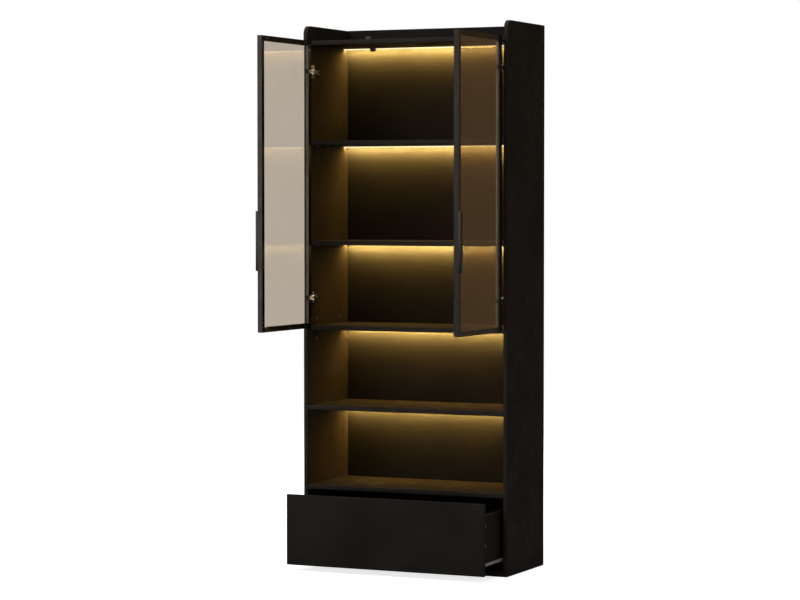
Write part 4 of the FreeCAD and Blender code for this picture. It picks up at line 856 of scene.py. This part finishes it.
class BOOKCASE_OT_cams(bpy.types.Operator):
    """Makes the round faces of the joining cams and the caps over those in the undersides"""
    bl_idname = "bookcase.cams"
    bl_label = "Cams and caps"

    def execute(self, context):
        sizes = context.scene.bookcase_fittings
        self.cam_faces(sizes)
        self.caps(sizes)
        return {"FINISHED"}

    def cam_faces(self, sizes):
        """A dark rim around a metal disc with a cross recess."""
        cam = upright_rod("Cam_face", sizes.cam_radius, -0.4 * MM, 0.25 * MM, 32)
        step_top(cam, CAM_STEPS)
        cross_recess(cam, *CAM_CROSS)
        dressed(cam, "Black plastic")
        disc = sizes.cam_radius - CAM_RIM
        paint_faces(cam, "Cam zinc", lambda middle, normal: middle.xy.length < disc)
        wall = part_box("side_panel_left_lower")[1]
        put_rows(cam, "seam_cam", "cabinet", ((wall.x, "+X"), (-wall.x, "-X")), SEAM_CAM_DEPTHS,
                 (wall.z - SEAM_CAM_RISE, wall.z + SEAM_CAM_RISE))
        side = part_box("drawer_side_left")[0]
        put_rows(cam, "drawer_cam", "drawer", ((side.x, "-X"), (-side.x, "+X")),
                 (side.y + DRAWER_CAM_DEPTH,), DRAWER_ROWS)
        put_away(cam)

    def caps(self, sizes):
        """Low domed caps under the boards."""
        cap = upright_rod("Cam_cap", sizes.cap_radius, -0.3 * MM, 0.5 * MM, 32)
        step_top(cap, CAP_STEPS)
        dressed(cap, "Black plastic")
        for number, (board, x, y) in enumerate(product(CAPPED_BOARDS, CAP_SPANS, CAP_DEPTHS), 1):
            put_copy(cap, f"cam_cap_{number:02d}", "cabinet", (x, y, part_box(board)[0].z), "-Z")
        put_away(cap)


class BOOKCASE_OT_hinge_screws(bpy.types.Operator):
    """Puts the fixing, holding and adjusting screws on the four hinges"""
    bl_idname = "bookcase.hinge_screws"
    bl_label = "Hinge screws"

    def execute(self, context):
        sizes = context.scene.bookcase_fittings
        head = pan_head("Pan_head", sizes.pan_radius, sizes.pan_height)
        small = pan_head("Small_pan_head", sizes.pan_radius * 0.72, sizes.pan_height * 0.8)
        panel_low, panel_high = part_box("side_panel_left_upper")
        low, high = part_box("hinge_links_left")
        rise = LINK_HEIGHT / 2
        levels = (("lower", low.z + rise), ("upper", high.z - rise))
        for (side, sign, facing, _), (level, z) in product(SIDES, levels):
            for name, (out, back, up) in HINGE_SCREWS.items():
                put_copy(small if name == "adjusting" else head,
                         f"{side}_{level}_hinge_{name}_screw", "cabinet",
                         (sign * (panel_high.x + out), panel_low.y + back, z + up), facing)
            put_copy(small, f"{side}_{level}_hinge_link_screw", f"{side}_links",
                     (sign * high.x, (low.y + high.y) / 2, z), facing)
        put_away(head, small)
        return {"FINISHED"}


class BOOKCASE_OT_slide_screws(bpy.types.Operator):
    """Puts the screws and axle ends on the slides, the drawer's sides and the wall brackets"""
    bl_idname = "bookcase.slide_screws"
    bl_label = "Slide and bracket screws"

    def execute(self, context):
        sizes = context.scene.bookcase_fittings
        head = pan_head("Pan_head", sizes.pan_radius, sizes.pan_height)
        low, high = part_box("runners")
        side_low, side_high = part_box("drawer_side_left")
        for side, sign, inward, outward in SIDES:
            for number, depth in enumerate(RUNNER_SCREW_DEPTHS, 1):
                place = (sign * (low.x + RUNNER_WEB), low.y + depth, (low.z + high.z) / 2)
                put_copy(head, f"{side}_runner_screw_{number}", "cabinet", place, inward)
            for number, z in enumerate(DRAWER_ROWS, 1):
                put_copy(head, f"{side}_drawer_back_screw_{number}", "drawer",
                         (sign * side_low.x, side_high.y - DRAWER_SCREW_DEPTH, z), outward)
        low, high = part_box("wall_brackets")
        for number, x in enumerate(BRACKET_SPANS, 1):
            put_copy(head, f"bracket_screw_{number}", "cabinet",
                     (x, high.y - BRACKET_SCREW_DEPTH, low.z + BRACKET_THICKNESS), "+Z")
        put_away(head)
        self.axle_ends(sizes)
        return {"FINISHED"}

    def axle_ends(self, sizes):
        """The riveted ends of the rollers' axles."""
        end = upright_rod("Axle_end", sizes.hub_radius, SLIP, 0.4 * MM)
        step_top(end, AXLE_STEPS)
        dressed(end, "Screw steel")
        for rollers, body, narrower, facings in (
                ("front_rollers", "cabinet", ROLLER_WIDTH, ("+X", "-X")),
                ("rear_rollers", "drawer", 0, ("-X", "+X"))):
            low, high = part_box(rollers)
            reach = high.x - narrower
            for side, x, facing in zip(("left", "right"), (-reach, reach), facings):
                put_copy(end, f"{side}_{body}_axle_end", body,
                         (x, (low.y + high.y) / 2, (low.z + high.z) / 2), facing)
        put_away(end)


class BOOKCASE_OT_shelf_pins(bpy.types.Operator):
    """Makes round shelf pins with rounded noses"""
    bl_idname = "bookcase.shelf_pins"
    bl_label = "Shelf pins"

    def execute(self, context):
        low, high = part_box("shelf_pins")
        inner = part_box("side_panel_left_upper")[1].x
        pin = upright_rod("Shelf_pin", PIN_RADIUS, PIN_TAIL, PIN_NOSE)
        round_edges(pin, 0.9 * MM, 3, lambda middle, run: near(middle.z, PIN_NOSE))
        dressed(pin, "Plated zinc")
        put_rows(pin, "shelf_pin", "cabinet", ((inner, "+X"), (-inner, "-X")),
                 (low.y + PIN_RADIUS, high.y - PIN_RADIUS),
                 (low.z + PIN_RADIUS, high.z - PIN_RADIUS))
        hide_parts("shelf_pins")
        put_away(pin)
        return {"FINISHED"}


class BOOKCASE_OT_light_bars(bpy.types.Operator):
    """Makes the rounded lenses, the light switch and the lamps of the five light bars"""
    bl_idname = "bookcase.light_bars"
    bl_label = "Light bars"

    def execute(self, context):
        light = context.scene.bookcase_light
        lens_low, lens_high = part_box("light_diffusers")
        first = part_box("open_shelf")[0].z
        for board in LIT_BOARDS:
            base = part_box(board)[0].z - first
            low = Vector((lens_low.x, lens_low.y, lens_low.z + base))
            lens = block("light_lens_" + board, low,
                         (lens_high.x, lens_high.y, first + base - 0.3 * MM))
            round_edges(lens, light.rounding, 4,
                        lambda middle, run: near(middle.z, low.z) and abs(run.x) > 0.9)
            dressed(lens, "Light lens", "cabinet")
        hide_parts("light_diffusers")
        self.switch()
        for board in LIT_BOARDS:
            place = Vector((0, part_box("back_panel_upper")[0].y - light.lamp_gap,
                            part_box(board)[0].z - light.lamp_drop))
            size = (lens_high.x - lens_low.x, LAMP_WIDTH)
            for name, aim, power, tint in (
                    ("Spread_", (0, 0, -1), light.power, light.glow),
                    ("Near_", (0, 1, 0), light.near_power, light.near_glow)):
                lamp = add_lamp(name + board, place, place + Vector(aim), size, power, tint)
                lamp.visible_camera = lamp.visible_glossy = False
        return {"FINISHED"}

    def switch(self):
        """A softened block with a round window for the hand sensor."""
        low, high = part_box("light_switch")
        case = block("light_switch_case", low, high)
        round_edges(case, 2.5 * MM, 4, lambda middle, run: abs(run.z) > 0.9)
        round_edges(case, 0.8 * MM, 2, lambda middle, run: near(middle.z, low.z))
        dressed(case, "Black plastic", "cabinet")
        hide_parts("light_switch")
        window = upright_rod("light_switch_window", 4 * MM, -0.3 * MM, 0.3 * MM)
        step_top(window, WINDOW_STEPS)
        dressed(window, "Sensor window")
        middle = (low + high) / 2
        put_copy(window, "light_switch_eye", "cabinet", (middle.x, middle.y, low.z), "-Z")
        put_away(window)


def ray_kinds(tree):
    """Two outputs: 1 for what is seen, straight or through glass, and 1 for what is mirrored."""
    ray = tree.nodes.new("ShaderNodeLightPath").outputs
    # A ray that turned back inside a pane leaves it as a mirrored one.
    unturned = tree.spread(ray["Glossy Depth"], 1, 0, 0, 1)
    through = tree.work_out("MULTIPLY", ray["Is Transmission Ray"], unturned)
    touched = tree.work_out("MAXIMUM", ray["Is Glossy Ray"], ray["Is Transmission Ray"])
    return (tree.work_out("MAXIMUM", ray["Is Camera Ray"], through),
            tree.work_out("SUBTRACT", touched, through))


# Each lamp's place, the point that it faces, and its width and height.
STUDIO_LAMPS = {
    "Key": ((-2.6, -4.2, 4.6), (0, 0, 0.9), (3, 3)),
    "Fill": ((-2.7, -4.4, 1.3), (0, 0, 1.0), (1.4, 2.2)),
    "Top": ((0, -0.6, 4.6), (0, 0, 0), (3, 3)),
    "Rear": ((-0.5, 4.2, 2.6), (-0.2, 0, 0.9), (1.6, 2.4)),
}
FLOOR_SIZE = 24


class BOOKCASE_OT_stage(bpy.types.Operator):
    """Makes the floor, the pale surroundings, the soft lamps and the camera"""
    bl_idname = "bookcase.stage"
    bl_label = "Stage"

    def execute(self, context):
        stage = context.scene.bookcase_stage
        self.make_world(context.scene, stage)
        self.make_floor(stage)
        for name, (place, target, size) in STUDIO_LAMPS.items():
            add_lamp(name, place, target, size, getattr(stage, name.lower() + "_power"))
        rear = bpy.data.objects["Rear"]
        rear.visible_camera = rear.visible_transmission = rear.visible_glossy = False
        bpy.ops.object.camera_add(location=stage.camera_place)
        camera = context.object
        camera.name = "Camera"
        camera.rotation_euler = (math.pi / 2 - stage.camera_dip, 0, stage.camera_turn)
        camera.data.sensor_width = 36
        camera.data.lens = stage.camera_lens
        camera.data.clip_end = 100
        context.scene.camera = camera
        context.scene.view_settings.view_transform = "Standard"
        return {"FINISHED"}

    def make_world(self, scene, stage):
        """White to the eye and through glass, dimmer as light, and dim behind for gloss."""
        scene.world = bpy.data.worlds.new("Surroundings")
        tree = Tree(scene.world)
        ambient = tree.nodes["Background"]
        tree.fill(ambient.inputs["Color"], (1, 1, 1))
        tree.fill(ambient.inputs["Strength"], stage.ambient)
        direction = tree.add("TexCoord", {}, "Generated")
        rearward = tree.spread(tree.add("SeparateXYZ", {0: direction}, "Y"), 0, 1, -0.35, 0.25)
        mirrored = tree.add("Background", {"Color": tree.blend(rearward, (1, 1, 1), stage.behind)})
        seen = tree.add("Background", {"Color": (1, 1, 1)})
        in_view, in_mirror = ray_kinds(tree)
        dim = tree.add("MixShader", {"Fac": in_mirror, 1: ambient.outputs[0], 2: mirrored})
        shown = tree.add("MixShader", {"Fac": in_view, 1: dim, 2: seen})
        tree.fill(tree.nodes["World Output"].inputs["Surface"], shown)

    def make_floor(self, stage):
        """A pale floor that keeps the bookcase's shadow."""
        bpy.ops.mesh.primitive_plane_add(size=FLOOR_SIZE)
        floor = bpy.context.object
        floor.name = "Floor"
        tree = Tree(bpy.data.materials.new("Floor"))
        tree.give("Base Color", stage.floor)
        tree.give("Roughness", 0.9)
        tree.give("Specular IOR Level", 0)
        tree.give("Emission Color", (1, 1, 1))
        in_view, in_mirror = ray_kinds(tree)
        tree.give("Emission Strength", tree.work_out("MULTIPLY", in_view, stage.floor_lift))
        mirrored = tree.add("Emission", {"Strength": stage.floor_mirrored})
        shown = tree.add("MixShader", {"Fac": in_mirror, 1: tree.shader.outputs[0], 2: mirrored})
        tree.fill(tree.nodes["Material Output"].inputs["Surface"], shown)
        floor.data.materials.append(tree.owner)


class BOOKCASE_PT_panel(bpy.types.Panel):
    """Lists the bookcase's operators and settings"""
    bl_label = "Bookcase"
    bl_idname = "BOOKCASE_PT_panel"
    bl_space_type = "VIEW_3D"
    bl_region_type = "UI"
    bl_category = "Bookcase"

    def draw(self, context):
        for operator in OPERATORS:
            self.layout.operator(operator.bl_idname)
        for name, group in SETTINGS.items():
            column = self.layout.column(heading=group.__doc__)
            for field in group.__annotations__:
                column.prop(getattr(context.scene, name), field)


SETTINGS = {
    "bookcase_bands": BandSizes,
    "bookcase_fittings": FittingSizes,
    "bookcase_beads": BeadSizes,
    "bookcase_handles": HandleSizes,
    "bookcase_boards": BoardFinish,
    "bookcase_metal": MetalFinish,
    "bookcase_glass": GlassFinish,
    "bookcase_light": LightSettings,
    "bookcase_stage": StageSettings,
}
OPERATORS = (
    BOOKCASE_OT_finishes,
    BOOKCASE_OT_edge_bands,
    BOOKCASE_OT_handles,
    BOOKCASE_OT_glazing_beads,
    BOOKCASE_OT_corner_screws,
    BOOKCASE_OT_cams,
    BOOKCASE_OT_hinge_screws,
    BOOKCASE_OT_slide_screws,
    BOOKCASE_OT_shelf_pins,
    BOOKCASE_OT_light_bars,
    BOOKCASE_OT_stage,
)


def register():
    for group in SETTINGS.values():
        bpy.utils.register_class(group)
    for name, group in SETTINGS.items():
        setattr(bpy.types.Scene, name, PointerProperty(type=group))
    for operator in OPERATORS:
        bpy.utils.register_class(operator)
    bpy.utils.register_class(BOOKCASE_PT_panel)


def unregister():
    bpy.utils.unregister_class(BOOKCASE_PT_panel)
    for operator in reversed(OPERATORS):
        bpy.utils.unregister_class(operator)
    for name, group in reversed(SETTINGS.items()):
        delattr(bpy.types.Scene, name)
        bpy.utils.unregister_class(group)


def main():
    register()
    bpy.ops.bookcase.finishes()
    bpy.ops.bookcase.edge_bands()
    bpy.ops.bookcase.handles()
    bpy.ops.bookcase.glazing_beads()
    bpy.ops.bookcase.corner_screws()
    bpy.ops.bookcase.cams()
    bpy.ops.bookcase.hinge_screws()
    bpy.ops.bookcase.slide_screws()
    bpy.ops.bookcase.shelf_pins()
    bpy.ops.bookcase.light_bars()
    bpy.ops.bookcase.stage()


if __name__ == "__main__":
    main()
